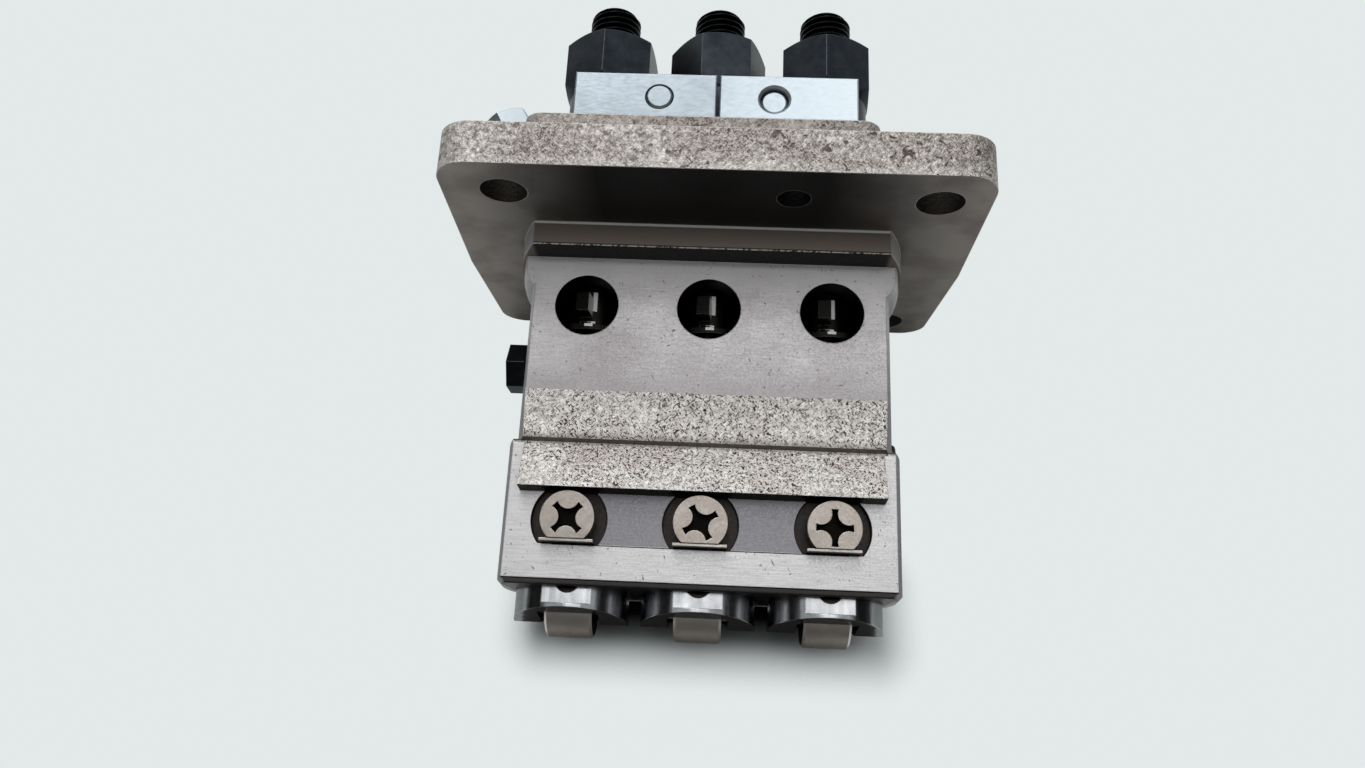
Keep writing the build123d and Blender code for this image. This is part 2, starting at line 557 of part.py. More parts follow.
def make_axle(number, x):
    """Plain axle pressed through the tappet."""
    with BuildPart() as roller_axle:
        with BuildSketch(Plane.YZ.offset(x - AXLE_HALF)):
            with Locations((0, ROLLER_Z)):
                Circle(AXLE_R)
        extrude(amount=2 * AXLE_HALF)
        chamfer(roller_axle.edges().filter_by(GeomType.CIRCLE), length=0.4)
    save(roller_axle, f"roller_axle_{number}")


def make_roller(number, x):
    """Hardened roller that runs on the cam."""
    with BuildPart() as roller:
        with BuildSketch(Plane.YZ.offset(x - ROLLER_W / 2)):
            with Locations((0, ROLLER_Z)):
                Circle(ROLLER_R)
                Circle(AXLE_R + ROLLER_BORE_CLEAR, mode=Mode.SUBTRACT)
        extrude(amount=ROLLER_W)
        rims = roller.edges().filter_by(GeomType.CIRCLE).filter_by(lambda rim: rim.radius > ROLLER_R - 0.1)
        chamfer(rims, length=0.5)
    save(roller, f"roller_{number}")


# ---------------------------------------------------------------- delivery side
def make_valve_body(number, x):
    """Seat and guide of the delivery valve, held down on the barrel."""
    with BuildPart() as valve_body:
        add(turned(x, [
            (VALVE_BODY_BORE, BARREL_TOP),
            (HEAD_R - 0.05, BARREL_TOP),
            (HEAD_R - 0.05, BARREL_TOP + 4.0),
            (VALVE_BOSS_R, BARREL_TOP + 4.0),
            (VALVE_BOSS_R, VALVE_SEAT_TOP),
            (VALVE_BODY_BORE + 1.0, VALVE_SEAT_TOP),
            (VALVE_BODY_BORE, VALVE_SEAT_TOP - 1.0),
        ]))
    save(valve_body, f"delivery_valve_body_{number}")


def make_delivery_valve(number, x):
    """Fluted valve with a conical seat and a peg for its spring."""
    with BuildPart() as delivery_valve:
        add(turned(x, [
            (0, VALVE_FOOT),
            (VALVE_R, VALVE_FOOT),
            (VALVE_R, VALVE_SEAT_TOP - 1.0),
            (VALVE_CONE_R, VALVE_SEAT_TOP - 0.05),
            (VALVE_CONE_R, VALVE_SEAT_TOP + 1.0),
            (VALVE_PEG_R, VALVE_SEAT_TOP + 1.0),
            (VALVE_PEG_R, VALVE_SEAT_TOP + 5.6),
            (VALVE_PEG_R - 0.4, VALVE_SEAT_TOP + 6.0),
            (0, VALVE_SEAT_TOP + 6.0),
        ]))
        # four flutes up the stem, short of the cone
        with BuildSketch(Plane.XY.offset(VALVE_FOOT)):
            with Locations((x, 0)):
                with PolarLocations(VALVE_R, 4):
                    Circle(1.2)
        extrude(amount=VALVE_SEAT_TOP - 2.2 - VALVE_FOOT, mode=Mode.SUBTRACT)
    save(delivery_valve, f"delivery_valve_{number}")


def make_gaskets():
    """Copper rings that seal each valve body against its holder."""
    with BuildPart() as valve_gaskets:
        for _, x in LINES:
            add(turned(x, [
                (VALVE_BOSS_R + 0.1, HOLDER_FOOT - GASKET_T),
                (HEAD_R - 0.1, HOLDER_FOOT - GASKET_T),
                (HEAD_R - 0.1, HOLDER_FOOT),
                (VALVE_BOSS_R + 0.1, HOLDER_FOOT),
            ]))
    save(valve_gaskets, "valve_gaskets")


def make_seals():
    """Rubber rings round each holder, under the deck's surface."""
    with BuildPart() as holder_seals:
        middle = (SEAL_BORE_R + UNION_THREAD_R - HOLDER_RELIEF) / 2
        for _, x in LINES:
            with BuildSketch(side_plane(x)):
                with Locations((middle, SEAL_FLOOR + 1.0)):
                    Circle(SEAL_BORE_R - SEAL_CLEAR - middle)
            revolve(axis=line_axis(x))
    save(holder_seals, "holder_seals")


def make_delivery_holder(number, x, turn):
    """Delivery valve holder: threaded foot, round neck, chamfered hexagon and M12 nipple."""
    corner_r = HEX_FLATS / 2 / cos(radians(30))
    with BuildPart() as delivery_holder:
        with BuildSketch(Plane.XY.offset(HEX_FOOT)):
            with Locations((x, 0)):
                RegularPolygon(HEX_FLATS / 2, 6, major_radius=False, rotation=turn)
        extrude(amount=HEX_TOP - HEX_FOOT)
        # both ends of the hexagon turned to a cone
        with BuildSketch(side_plane(x)):
            with BuildLine():
                Polyline(
                    (0, HEX_FOOT),
                    (NECK_R, HEX_FOOT),
                    (corner_r, HEX_FOOT + HEX_CONE_FOOT),
                    (corner_r, HEX_TOP - HEX_CONE_TOP),
                    (corner_r - HEX_CONE_IN, HEX_TOP),
                    (0, HEX_TOP),
                    close=True,
                )
            make_face()
        revolve(axis=line_axis(x), mode=Mode.INTERSECT)
        add(turned(x, [
            (0, HOLDER_FOOT),
            (UNION_THREAD_R - 0.6, HOLDER_FOOT),
            (UNION_THREAD_R - 0.02, HOLDER_FOOT + 0.6),
            (UNION_THREAD_R - 0.02, SEAL_FLOOR - 0.6),
            (UNION_THREAD_R - HOLDER_RELIEF, SEAL_FLOOR),
            (UNION_THREAD_R - HOLDER_RELIEF, DECK_TOP + 0.3),
            (NECK_R, DECK_TOP + 0.3),
            (NECK_R, HEX_FOOT),
            (0, HEX_FOOT),
        ]))
        add(turned(x, [
            (0, HEX_TOP),
            (NIPPLE_R - 0.9, HEX_TOP),
            (NIPPLE_R - 0.9, HEX_TOP + 0.8),
            (NIPPLE_R, HEX_TOP + 1.6),
            (NIPPLE_R, NIPPLE_TOP - 1.0),
            (NIPPLE_R - 0.9, NIPPLE_TOP),
            (0, NIPPLE_TOP),
        ]))
        # spring room, outlet bore and the 60 degree seat of the high-pressure pipe
        cone_depth = (CONE_R - HOLDER_BORE_R) / tan(radians(30))
        add(turned(x, [
            (0, HOLDER_FOOT),
            (HOLDER_ROOM_R, HOLDER_FOOT),
            (HOLDER_ROOM_R, HOLDER_ROOM_TOP),
            (HOLDER_BORE_R, HOLDER_ROOM_TOP),
            (HOLDER_BORE_R, NIPPLE_TOP - cone_depth),
            (CONE_R, NIPPLE_TOP),
            (0, NIPPLE_TOP),
        ]), mode=Mode.SUBTRACT)
    save(delivery_holder, f"delivery_holder_{number}")


def make_clamp(side, face):
    """Lock block that grips two holder necks; the front pair is threaded, the rear pair takes bolt heads."""
    left, right, bolt_x = CLAMP_SPANS[side]
    sign = -1 if face == "front" else 1
    with BuildPart() as clamp:
        with BuildSketch(Plane.XY.offset(DECK_TOP)):
            with Locations(((left + right) / 2, sign * (CLAMP_FRONT + CLAMP_INNER) / 2)):
                Rectangle(right - left, CLAMP_FRONT - CLAMP_INNER)
            for _, x in LINES:
                with Locations((x, 0)):
                    Circle(NECK_R + 0.02, mode=Mode.SUBTRACT)
        extrude(amount=CLAMP_TOP - DECK_TOP)
        outer_edges = clamp.faces().sort_by(Axis.Y)[0 if sign < 0 else -1].edges()
        chamfer(outer_edges, length=0.3)
        with BuildSketch(face_plane(sign * CLAMP_INNER)):
            with Locations((bolt_x, CLAMP_BOLT_Z)):
                Circle(CLAMP_HOLE_R)
        extrude(amount=-sign * CLAMP_FRONT, mode=Mode.SUBTRACT)
        if face == "front" and side == "right":
            mouth = clamp.faces().sort_by(Axis.Y)[0].edges().filter_by(GeomType.CIRCLE)
            chamfer(mouth, length=0.5)
    save(clamp, f"clamp_{face}_{side}")


def make_clamp_bolts():
    """Bolts that draw each pair of lock blocks together, with washers under their heads at the back."""
    with BuildPart() as clamp_bolts:
        for side, end_y in CLAMP_BOLT_ENDS.items():
            _, _, bolt_x = CLAMP_SPANS[side]
            with BuildSketch(face_plane(end_y)):
                with Locations((bolt_x, CLAMP_BOLT_Z)):
                    Circle(CLAMP_BOLT_R)
            extrude(amount=-(CLAMP_FRONT + 1 - end_y))
            with BuildSketch(face_plane(CLAMP_FRONT)):
                with Locations((bolt_x, CLAMP_BOLT_Z)):
                    Circle(WASHER_R)
            extrude(amount=-WASHER_T)
            with BuildSketch(face_plane(CLAMP_FRONT + WASHER_T)):
                with Locations((bolt_x, CLAMP_BOLT_Z)):
                    RegularPolygon(BOLT_FLATS / 2, 6, major_radius=False)
            extrude(amount=-BOLT_HEAD_T)
        tips = clamp_bolts.faces().sort_by(Axis.Y)[:2]
        chamfer([edge for tip in tips for edge in tip.edges()], length=0.5)
    save(clamp_bolts, "clamp_bolts")


# ---------------------------------------------------------------- guide screws, plugs
def make_guide_screws():
    """Cross-recess screws whose tips run in the tappets' guide slots; one flat on each head for the lock tab."""
    with BuildPart() as guide_screws:
        for (_, x), turn in zip(LINES, SCREW_TURNS):
            steps = [
                (SCREW_HEAD_Y, POCKET_FLOOR - PLATE_T, SCREW_HEAD_R),
                (POCKET_FLOOR - PLATE_T, -12.0, SCREW_SHANK_R),
                (-12.0, SCREW_TIP_Y, SCREW_TIP_R),
            ]
            for start, end, radius in steps:
                with BuildSketch(face_plane(start)):
                    with Locations((x, SCREW_Z)):
                        Circle(radius)
                extrude(amount=start - end)
            with BuildSketch(face_plane(SCREW_HEAD_Y - 1)):
                with Locations((x, SCREW_Z - SCREW_FLAT - 1)):
                    Rectangle(2 * SCREW_HEAD_R, 2)
            extrude(amount=SCREW_HEAD_Y - 1 - (POCKET_FLOOR - PLATE_T), mode=Mode.SUBTRACT)
            # cross recess: a square with its corners hollowed out leaves four blunt arms
            with BuildSketch(face_plane(SCREW_HEAD_Y)):
                with BuildSketch(mode=Mode.PRIVATE) as recess:
                    Rectangle(2 * RECESS_R, 2 * RECESS_R)
                    with GridLocations(2 * RECESS_CORNER, 2 * RECESS_CORNER, 2, 2):
                        Circle(RECESS_HOLLOW_R, mode=Mode.SUBTRACT)
                with Locations((x, SCREW_Z)):
                    add(recess.sketch, rotation=turn)
            extrude(amount=-RECESS_DEPTH, mode=Mode.SUBTRACT)
    save(guide_screws, "guide_screws")


def make_lock_plates():
    """Thin plates under the guide screws, each with a tab bent out against the flat on the head."""
    with BuildPart() as lock_plates:
        for _, x in LINES:
            with BuildSketch(face_plane(POCKET_FLOOR)):
                with Locations((x, SCREW_Z)):
                    Circle(SCREW_HEAD_R - 0.1)
                    Circle(SCREW_SHANK_R + 0.1, mode=Mode.SUBTRACT)
                with Locations((x, SCREW_Z - SCREW_FLAT - PLATE_T - 2.05)):
                    Rectangle(2 * POCKET_R, 4.0, mode=Mode.SUBTRACT)
            extrude(amount=PLATE_T)
            with BuildSketch(face_plane(POCKET_FLOOR)):
                with Locations((x, SCREW_Z - SCREW_FLAT - 0.05 - PLATE_T / 2)):
                    Rectangle(TAB_W, PLATE_T)
            extrude(amount=POCKET_FLOOR - SCREW_HEAD_Y - 0.4)
    save(lock_plates, "lock_plates")


def make_inlet_union():
    """Zinc-plated fuel inlet union: threaded foot, collar, neck, and a hexagon with a tapped socket."""
    corner_r = INLET_FLATS / 2 / cos(radians(30))
    with BuildPart() as inlet_union:
        with BuildSketch(INLET_PLANE.offset(INLET_HEX_FOOT)):
            RegularPolygon(INLET_FLATS / 2, 6, major_radius=False, rotation=INLET_TURN)
        extrude(amount=INLET_HEX_TOP - INLET_HEX_FOOT)
        # both ends of the hexagon turned to a cone
        with BuildSketch(Plane(INLET_PLANE.origin, x_dir=INLET_PLANE.x_dir, z_dir=-INLET_PLANE.y_dir)):
            with BuildLine():
                Polyline(
                    (0, INLET_HEX_FOOT),
                    (corner_r - INLET_CONE, INLET_HEX_FOOT),
                    (corner_r, INLET_HEX_FOOT + INLET_CONE / 2),
                    (corner_r, INLET_HEX_TOP - INLET_CONE / 2),
                    (corner_r - INLET_CONE, INLET_HEX_TOP),
                    (0, INLET_HEX_TOP),
                    close=True,
                )
            make_face()
        revolve(axis=Axis(INLET_PLANE.origin, INLET_PLANE.z_dir), mode=Mode.INTERSECT)
        for foot, top, radius in (
            (-INLET_THREAD_L, 0, INLET_THREAD_R - 0.02),
            (0, INLET_COLLAR_T, INLET_COLLAR_R),
            (INLET_COLLAR_T, INLET_HEX_FOOT, INLET_NECK_R),
        ):
            with BuildSketch(INLET_PLANE.offset(foot)):
                Circle(radius)
            extrude(amount=top - foot)
        with BuildSketch(INLET_PLANE.offset(INLET_HEX_TOP)):
            Circle(INLET_SOCKET_R)
        extrude(amount=-INLET_SOCKET_DEPTH, mode=Mode.SUBTRACT)
        with BuildSketch(INLET_PLANE.offset(INLET_HEX_TOP)):
            Circle(INLET_DRILL_R)
        extrude(amount=-INLET_THREAD_L - INLET_HEX_TOP, mode=Mode.SUBTRACT)
    save(inlet_union, "inlet_union")


def make_cup_plugs():
    """Thin cup plugs that close both ends of the rack's bore."""
    with BuildPart() as rack_cup_plugs:
        for x in (-CUP_PLUG_X - CUP_PLUG_T, CUP_PLUG_X):
            with BuildSketch(Plane.YZ.offset(x)):
                with Locations((RACK_Y, RACK_Z)):
                    Circle(RACK_R + RACK_CLEAR)
            extrude(amount=CUP_PLUG_T)
    save(rack_cup_plugs, "rack_cup_plugs")


def make_side_plug():
    """Black hexagon-headed plug in the body's left end."""
    with BuildPart() as side_plug:
        with BuildSketch(Plane.YZ.offset(-WAIST_R)):
            with Locations((0, SIDE_PLUG_Z)):
                Circle(SIDE_PLUG_THREAD_R - 0.02)
        extrude(amount=WAIST_R - PITCH - SPRING_ROOM_R)
        with BuildSketch(Plane.YZ.offset(-WAIST_R)):
            with Locations((0, SIDE_PLUG_Z)):
                RegularPolygon(SIDE_PLUG_FLATS / 2, 6, major_radius=False)
        extrude(amount=-SIDE_PLUG_HEAD)
    save(side_plug, "side_plug")


def make_drain_plug():
    """Small black driven plug in the body's right end, just above the lower block."""
    with BuildPart() as drain_plug:
        for radius, start_x, end_x in (
            (DRAIN_SHANK_R - 0.02, DRAIN_SHANK_X, WAIST_R - 0.1),
            (DRAIN_HEAD_R - 0.05, WAIST_R - 0.1, DRAIN_TOP_X),
        ):
            with BuildSketch(Plane.YZ.offset(start_x)):
                with Locations((0, DRAIN_Z)):
                    Circle(radius)
            extrude(amount=end_x - start_x)
        chamfer(drain_plug.faces().sort_by(Axis.X)[-1].edges(), length=0.3)
    save(drain_plug, "drain_plug")


make_housing()
for number, x in LINES:
    make_barrel(number, x)
    make_plunger(number, x)
    make_control_sleeve(number, x)
    make_spring(f"plunger_spring_{number}", x, SPRING_MEAN_R, SPRING_WIRE_R,
                TAPPET_FLOOR + SEAT_T, SPRING_ROOM_TOP - UPPER_SEAT_T, SPRING_TURNS)
    make_upper_seat(number, x)
    make_lower_seat(number, x)
    make_tappet(number, x)
    make_axle(number, x)
    make_roller(number, x)
    make_valve_body(number, x)
    make_delivery_valve(number, x)
    make_spring(f"valve_spring_{number}", x, VALVE_SPRING_MEAN_R, VALVE_SPRING_WIRE_R,
                VALVE_SEAT_TOP + 1.0, HOLDER_ROOM_TOP, VALVE_SPRING_TURNS)
    make_delivery_holder(number, x, HEX_TURNS[number - 1])
make_control_rack()
make_gaskets()
make_seals()
for side in CLAMP_SPANS:
    make_clamp(side, "front")
    make_clamp(side, "rear")
make_clamp_bolts()
make_guide_screws()
make_lock_plates()
make_inlet_union()
make_side_plug()
make_drain_plug()
make_cup_plugs()
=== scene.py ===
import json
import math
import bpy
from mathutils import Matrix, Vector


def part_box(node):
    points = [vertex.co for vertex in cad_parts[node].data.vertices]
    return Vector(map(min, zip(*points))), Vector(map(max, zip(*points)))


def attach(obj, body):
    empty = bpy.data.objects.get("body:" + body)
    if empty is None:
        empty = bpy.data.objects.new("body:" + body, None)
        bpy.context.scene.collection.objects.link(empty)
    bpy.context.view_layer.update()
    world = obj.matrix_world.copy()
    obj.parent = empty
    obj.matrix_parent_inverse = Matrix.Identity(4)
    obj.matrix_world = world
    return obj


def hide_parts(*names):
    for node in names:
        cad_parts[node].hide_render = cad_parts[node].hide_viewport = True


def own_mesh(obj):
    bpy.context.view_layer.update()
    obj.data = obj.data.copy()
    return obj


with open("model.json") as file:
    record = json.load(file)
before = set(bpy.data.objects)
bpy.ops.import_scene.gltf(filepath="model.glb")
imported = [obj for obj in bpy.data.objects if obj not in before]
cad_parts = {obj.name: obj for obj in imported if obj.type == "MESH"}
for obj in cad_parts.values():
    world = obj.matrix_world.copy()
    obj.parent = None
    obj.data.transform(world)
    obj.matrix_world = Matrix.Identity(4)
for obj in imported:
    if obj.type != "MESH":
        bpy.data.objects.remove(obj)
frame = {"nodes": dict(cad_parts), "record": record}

# %% [markdown]
# # A three-plunger diesel injection pump
# The pump is an iron casting with machined faces, three black delivery unions held by zinc-plated lock
# blocks, and three roller tappets that a camshaft lifts. Its solids come from the imported frame, one object
# per real piece, so this lesson adds what solids don't have: threads, springs with meshes of their own, the
# finish of every metal, light, and the view.

# %% Tools
from types import SimpleNamespace

import bmesh
import bpy
from mathutils import Vector

scene = bpy.context.scene
MM = 0.001  # metres in a millimetre
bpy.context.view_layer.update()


# %% [markdown]
# ## The three pumping lines
# Everything inside the pump repeats at one pitch, so that pitch is measured once, from two plungers.
# A finish that must repeat on every line then needs only the distance from the nearest line.

# %% Pitch
def middle_x(name):
    """Where a solid's middle lies, left to right, in metres."""
    return sum(corner.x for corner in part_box(name)) / 2


PITCH = round((middle_x("plunger_3") - middle_x("plunger_2")) / MM, 2)
print("the pumping lines stand", PITCH, "mm apart")


# %% [markdown]
# ## Colours and nodes
# Finishes are easier to judge as the hex values a paint chart gives, while Cycles works with linear
# light, so one function converts. A second small function adds a node, sets it and links it, which
# keeps each material readable as a recipe.

# %% Two helpers
def linear(colour):
    """An sRGB hex colour, such as "a0a0a0", as linear red, green, blue and 1."""
    parts = [int(colour[i:i + 2], 16) / 255 for i in (0, 2, 4)]
    return [p / 12.92 if p <= 0.04045 else ((p + 0.055) / 1.055) ** 2.4 for p in parts] + [1.0]


def node(tree, kind, inputs=None, **settings):
    """Adds a node. Its inputs take a value, or another node's output, which is linked."""
    made = tree.nodes.new(kind)
    for name, value in settings.items():
        setattr(made, name, value)
    for name, value in (inputs or {}).items():
        if isinstance(value, bpy.types.NodeSocket):
            tree.links.new(value, made.inputs[name])
        else:
            made.inputs[name].default_value = value
    return made


print("grey a0a0a0 is", round(linear("a0a0a0")[0], 3), "in linear light")


# %% [markdown]
# ## Finishes that know their place
# A milled face, an oily slot or a ground land belongs to one part of a solid. Vertex groups could
# mark it, but the solids' meshes stay as they are, so the shader reads where a point lies, in
# millimetres, and how it faces. Limits on those join into a share from 0 to 1, and coats of colour
# go on by share, as a painter would mask them.

# %% Where a point lies and how it faces
def spot(tree):
    """A surface point's place in millimetres and the way it faces, with and without sign."""
    place = node(tree, "ShaderNodeTexCoord").outputs["Object"]
    mm = node(tree, "ShaderNodeVectorMath", {0: place, "Scale": 1 / MM}, operation="SCALE").outputs[0]
    right, back, up = node(tree, "ShaderNodeSeparateXYZ", {0: mm}).outputs
    one_line = {0: right, 1: -PITCH / 2, 2: PITCH / 2}
    from_line = node(tree, "ShaderNodeMath", one_line, operation="WRAP").outputs[0]
    normal = node(tree, "ShaderNodeNewGeometry").outputs["True Normal"]
    faces_right, faces_back, faces_up = node(tree, "ShaderNodeSeparateXYZ", {0: normal}).outputs
    signed = (right, back, from_line, faces_right, faces_up)
    beside, off_axis, beside_line, faces_aside, level = (
        node(tree, "ShaderNodeMath", {0: value}, operation="ABSOLUTE").outputs[0] for value in signed
    )
    return SimpleNamespace(
        mm=mm, right=right, back=back, up=up, from_line=from_line, beside=beside, off_axis=off_axis,
        beside_line=beside_line, faces_back=faces_back, faces_up=faces_up, faces_right=faces_right,
        faces_aside=faces_aside, level=level,
    )


# %% Shares and coats
def where(*limits, join="MULTIPLY"):
    """The share where all the limits hold, or with "MAXIMUM" where any does.

    A limit is a share, or a value with where it counts 0 and where 1. A number at the end weakens all.
    """
    joined = None
    for limit in limits:
        if isinstance(limit, tuple):
            value, at_0, at_1 = limit
            ramp = node(value.id_data, "ShaderNodeMapRange", {"Value": value, 1: at_0, 2: at_1})
            limit = ramp.outputs[0]
        if joined is None:
            joined = limit
        else:
            joined = node(joined.id_data, "ShaderNodeMath", {0: joined, 1: limit}, operation=join).outputs[0]
    return joined


def coats(colour, *layers):
    """A colour with coats over it, each a share and its colour, in the order they go on."""
    for share, over in layers:
        under, over = (linear(c) if isinstance(c, str) else c for c in (colour, over))
        mixed = node(share.id_data, "ShaderNodeMix", {0: share, 6: under, 7: over}, data_type="RGBA")
        colour = mixed.outputs[2]
    return colour


def distance(first, second, middle):
    """How far two coordinates are from a point, in millimetres."""
    tree = first.id_data
    flat = node(tree, "ShaderNodeCombineXYZ", {0: first, 1: second}).outputs[0]
    apart = node(tree, "ShaderNodeVectorMath", {0: flat, 1: (*middle, 0)}, operation="DISTANCE")
    return apart.outputs["Value"]


print("helpers for masks: spot, where, coats, distance")


# %% [markdown]
# ## Worn edges and painted highlights
# Handling and tumbling polish every outside edge a little brighter than the faces, and that lighter colour
# is also a painted highlight for the light that a rounded edge catches. The Bevel node gives the normal that
# a rounded edge would have, so where it leaves the true normal there is an edge. It works at a real radius
# in millimetres and needs no extra geometry.

# %% Edge mask
FLAT, TURNED = 0.985, 0.86  # how alike the two normals are on a face and on a full edge


def edge_mask(tree, radius_mm):
    """(share that is 1 on an edge, the rounded normal) for edges of that radius."""
    rounded = node(tree, "ShaderNodeBevel", {"Radius": radius_mm * MM}, samples=6).outputs["Normal"]
    true = node(tree, "ShaderNodeNewGeometry").outputs["True Normal"]
    alike = node(tree, "ShaderNodeVectorMath", {0: rounded, 1: true}, operation="DOT_PRODUCT")
    return where((alike.outputs["Value"], FLAT, TURNED)), rounded


print("an edge counts from", round(math.degrees(math.acos(FLAT))), "degrees of turn")


# %% [markdown]
# ## Plain metals
# Turned, ground, plated and blackened steels differ in colour, gloss and grain. All are metal with
# fine scratches that run along the tool's path, soft clouds from handling, and bright edges. One
# recipe takes those as numbers, and a real size in millimetres sets every pattern.

# %% A new material
def start(name):
    """A new material: the material, its tree and its Principled shader."""
    made = bpy.data.materials.new(name)
    made.use_nodes = True
    return made, made.node_tree, made.node_tree.nodes["Principled BSDF"]


print("new materials start from a Principled shader")

# %% A recipe for steel
def steel(name, colour, cloud, edge_wear_and_highlight, roughness, spread=0.1, grain_mm=0.25, stretch=(1, 1, 1),
          cloud_mm=6.0, depth_mm=0.004, edge_mm=0.25, metallic=1.0, specks=0.0):
    """Metal with clouds between two colours, scratches stretched along an axis, specks, and worn edges that
    carry a painted highlight.
    """
    made, tree, shader = start(name)
    place = node(tree, "ShaderNodeTexCoord").outputs["Object"]
    mm = node(tree, "ShaderNodeVectorMath", {0: place, "Scale": 1 / MM}, operation="SCALE").outputs[0]
    edges, rounded = edge_mask(tree, edge_mm)
    soft = {"Vector": mm, "Scale": 1 / cloud_mm, "Detail": 4.0, "Roughness": 0.6}
    clouds = node(tree, "ShaderNodeTexNoise", soft).outputs[0]
    drawn = node(tree, "ShaderNodeVectorMath", {0: mm, 1: stretch}, operation="MULTIPLY").outputs[0]
    fine = {"Vector": drawn, "Scale": 1 / grain_mm, "Detail": 3.0}
    grain = node(tree, "ShaderNodeTexNoise", fine).outputs[0]
    cloudy = where((clouds, 0.35, 0.65))
    speckled = where((grain, 0.66, 0.74), specks)
    painted = coats(colour, (cloudy, cloud), (speckled, "2a2622"), (edges, edge_wear_and_highlight))
    tree.links.new(painted, shader.inputs["Base Color"])
    gloss = {"Value": grain, 1: 0.3, 2: 0.7, 3: roughness - spread, 4: roughness + spread}
    tree.links.new(node(tree, "ShaderNodeMapRange", gloss).outputs[0], shader.inputs["Roughness"])
    relief = {"Height": grain, "Distance": depth_mm * MM, "Strength": 1.0, "Normal": rounded}
    tree.links.new(node(tree, "ShaderNodeBump", relief).outputs[0], shader.inputs["Normal"])
    shader.inputs["Metallic"].default_value = metallic
    return made


# %% The twelve plain finishes
finishes = {
    # bright zinc over a milled block: bluish silver, softly wavy
    "zinc_plate": steel("zinc plate with painted light to one end", "7f878d", "8a9197", "d3d9dd", 0.42, 0.06,
                        grain_mm=0.6, stretch=(0.4, 1, 1), cloud_mm=7.0, depth_mm=0.02),
    # chemical blackening: blue-black and satin, rubbed grey on corners
    "black_oxide": steel("black oxide on turned steel", "26292e", "33373d", "565b61", 0.38, 0.1,
                         grain_mm=0.4, stretch=(1, 1, 3), cloud_mm=4.0, depth_mm=0.006),
    # ground tappets: nearly a mirror, with grinding marks round the axis
    "tappet_steel": steel("ground tappet steel with painted shade underneath", "a3a3a5", "88888b", "cfcfd1",
                          0.2, 0.08, grain_mm=1.3, stretch=(1, 1, 0.1), cloud_mm=5.0, depth_mm=0.03),
    # tumbled rollers: a warm light grey, dull
    "roller_steel": steel("hardened roller steel with painted shade on its ends", "d6ccc4", "e0d7cf", "dad4ce", 0.5,
                          0.06, grain_mm=0.3, stretch=(1, 2, 2), cloud_mm=3.0, depth_mm=0.003,
                          edge_mm=0.15),
    # tumbled screw heads: warm grey, speckled, with a bright rim
    "screw_steel": steel("tumbled steel screw head with painted shade in its recess", "938b85", "857d77",
                         "e3dfda", 0.4, 0.08, grain_mm=0.35, cloud_mm=3.0, depth_mm=0.006,
                         edge_mm=0.2, specks=0.35),
    # sheet between rolls: warm, fairly bright, grain along the strip, thin bright cut edge
    "lock_plate_steel": steel("rolled spring steel sheet", "9a9691", "8a8580", "e8e6e3", 0.35, 0.08,
                              grain_mm=0.3, stretch=(0.3, 1, 1), edge_mm=0.12),
    # bar pulled through a die: even grey with long marks
    "rack_steel": steel("cold-drawn rack steel", "9b9b9d", "8d8d90", "d0d0d2", 0.32, 0.08,
                        grain_mm=0.3, stretch=(0.15, 1, 1)),
    # ground and lapped: the brightest and smoothest metal here
    "ground_steel": steel("ground plunger steel", "c9c9cb", "bababd", "ececee", 0.2, 0.06,
                          grain_mm=0.2, stretch=(1, 1, 4), depth_mm=0.001),
    # blackened in the hardening oil: almost black, satin
    "sleeve_steel": steel("blackened sleeve steel with painted highlights", "121110",
                          "191817", "8f8c88", 0.32, 0.08, grain_mm=0.3, stretch=(1, 1, 3), edge_mm=0.2),
    # peened wire: dark grey with fine dents that scatter the light
    "spring_steel": steel("shot-peened spring wire", "5c5b5c", "6c6b6c", "8d8c8d", 0.4, 0.1,
                          grain_mm=0.15),
    # annealed gasket: salmon pink, softly dull
    "copper": steel("soft copper", "c98a66", "b87a58", "e0a583", 0.35, 0.08, grain_mm=0.3),
    # moulded seal: black and matt, the one finish here that isn't metal
    "seal_rubber": steel("black nitrile rubber", "17181a", "1f2022", "2c2d2f", 0.62, 0.08,
                         grain_mm=0.4, metallic=0.0),
}
print(len(finishes), "steel, copper and rubber finishes")


# %% [markdown]
# ## The iron casting
# The housing is grey iron. Its faces were milled, which leaves a light, faintly lilac grey with fine
# scratches and a few open pores. The flange's edge, the two ribs and the deck's sides keep a
# shot-blasted skin: lighter and rougher, crossed by short dark flecks where graphite opened under
# the grit, with rust-brown pits on the flange. The collar under the flange stays as cast and brown.
# One solid carries all of these, so the finish is chosen by where a point lies and how it faces.
# The heights below are the solid's own, in millimetres from the flange's underside.

# %% Heights on the casting
SKIN_TOP, SKIN_FOOT = 28.1, 0.1  # of the blasted deck and flange, short of their milled ends
COLLAR_FRONT = -19.5  # the collar's flat front face stands ahead of this
COLLAR_FOOT, BODY_FOOT = -5.1, -73.1  # just above their lower ends
RIBS_TOP, RIBS_BETWEEN, RIBS_FOOT = -34.4, -45.5, -55.6
STEP_FOOT, STEP_HALF = -65.7, 28.3  # lower edge and half width of the step round the guide screws
STEP_FACE = -14.4  # the step's face lies behind this
FOOT_CHAMFER = -72.1
SCREW_UP = -61.0  # of the guide screws' axes
print("the casting's finish is divided between", BODY_FOOT, "and", SKIN_TOP, "mm")

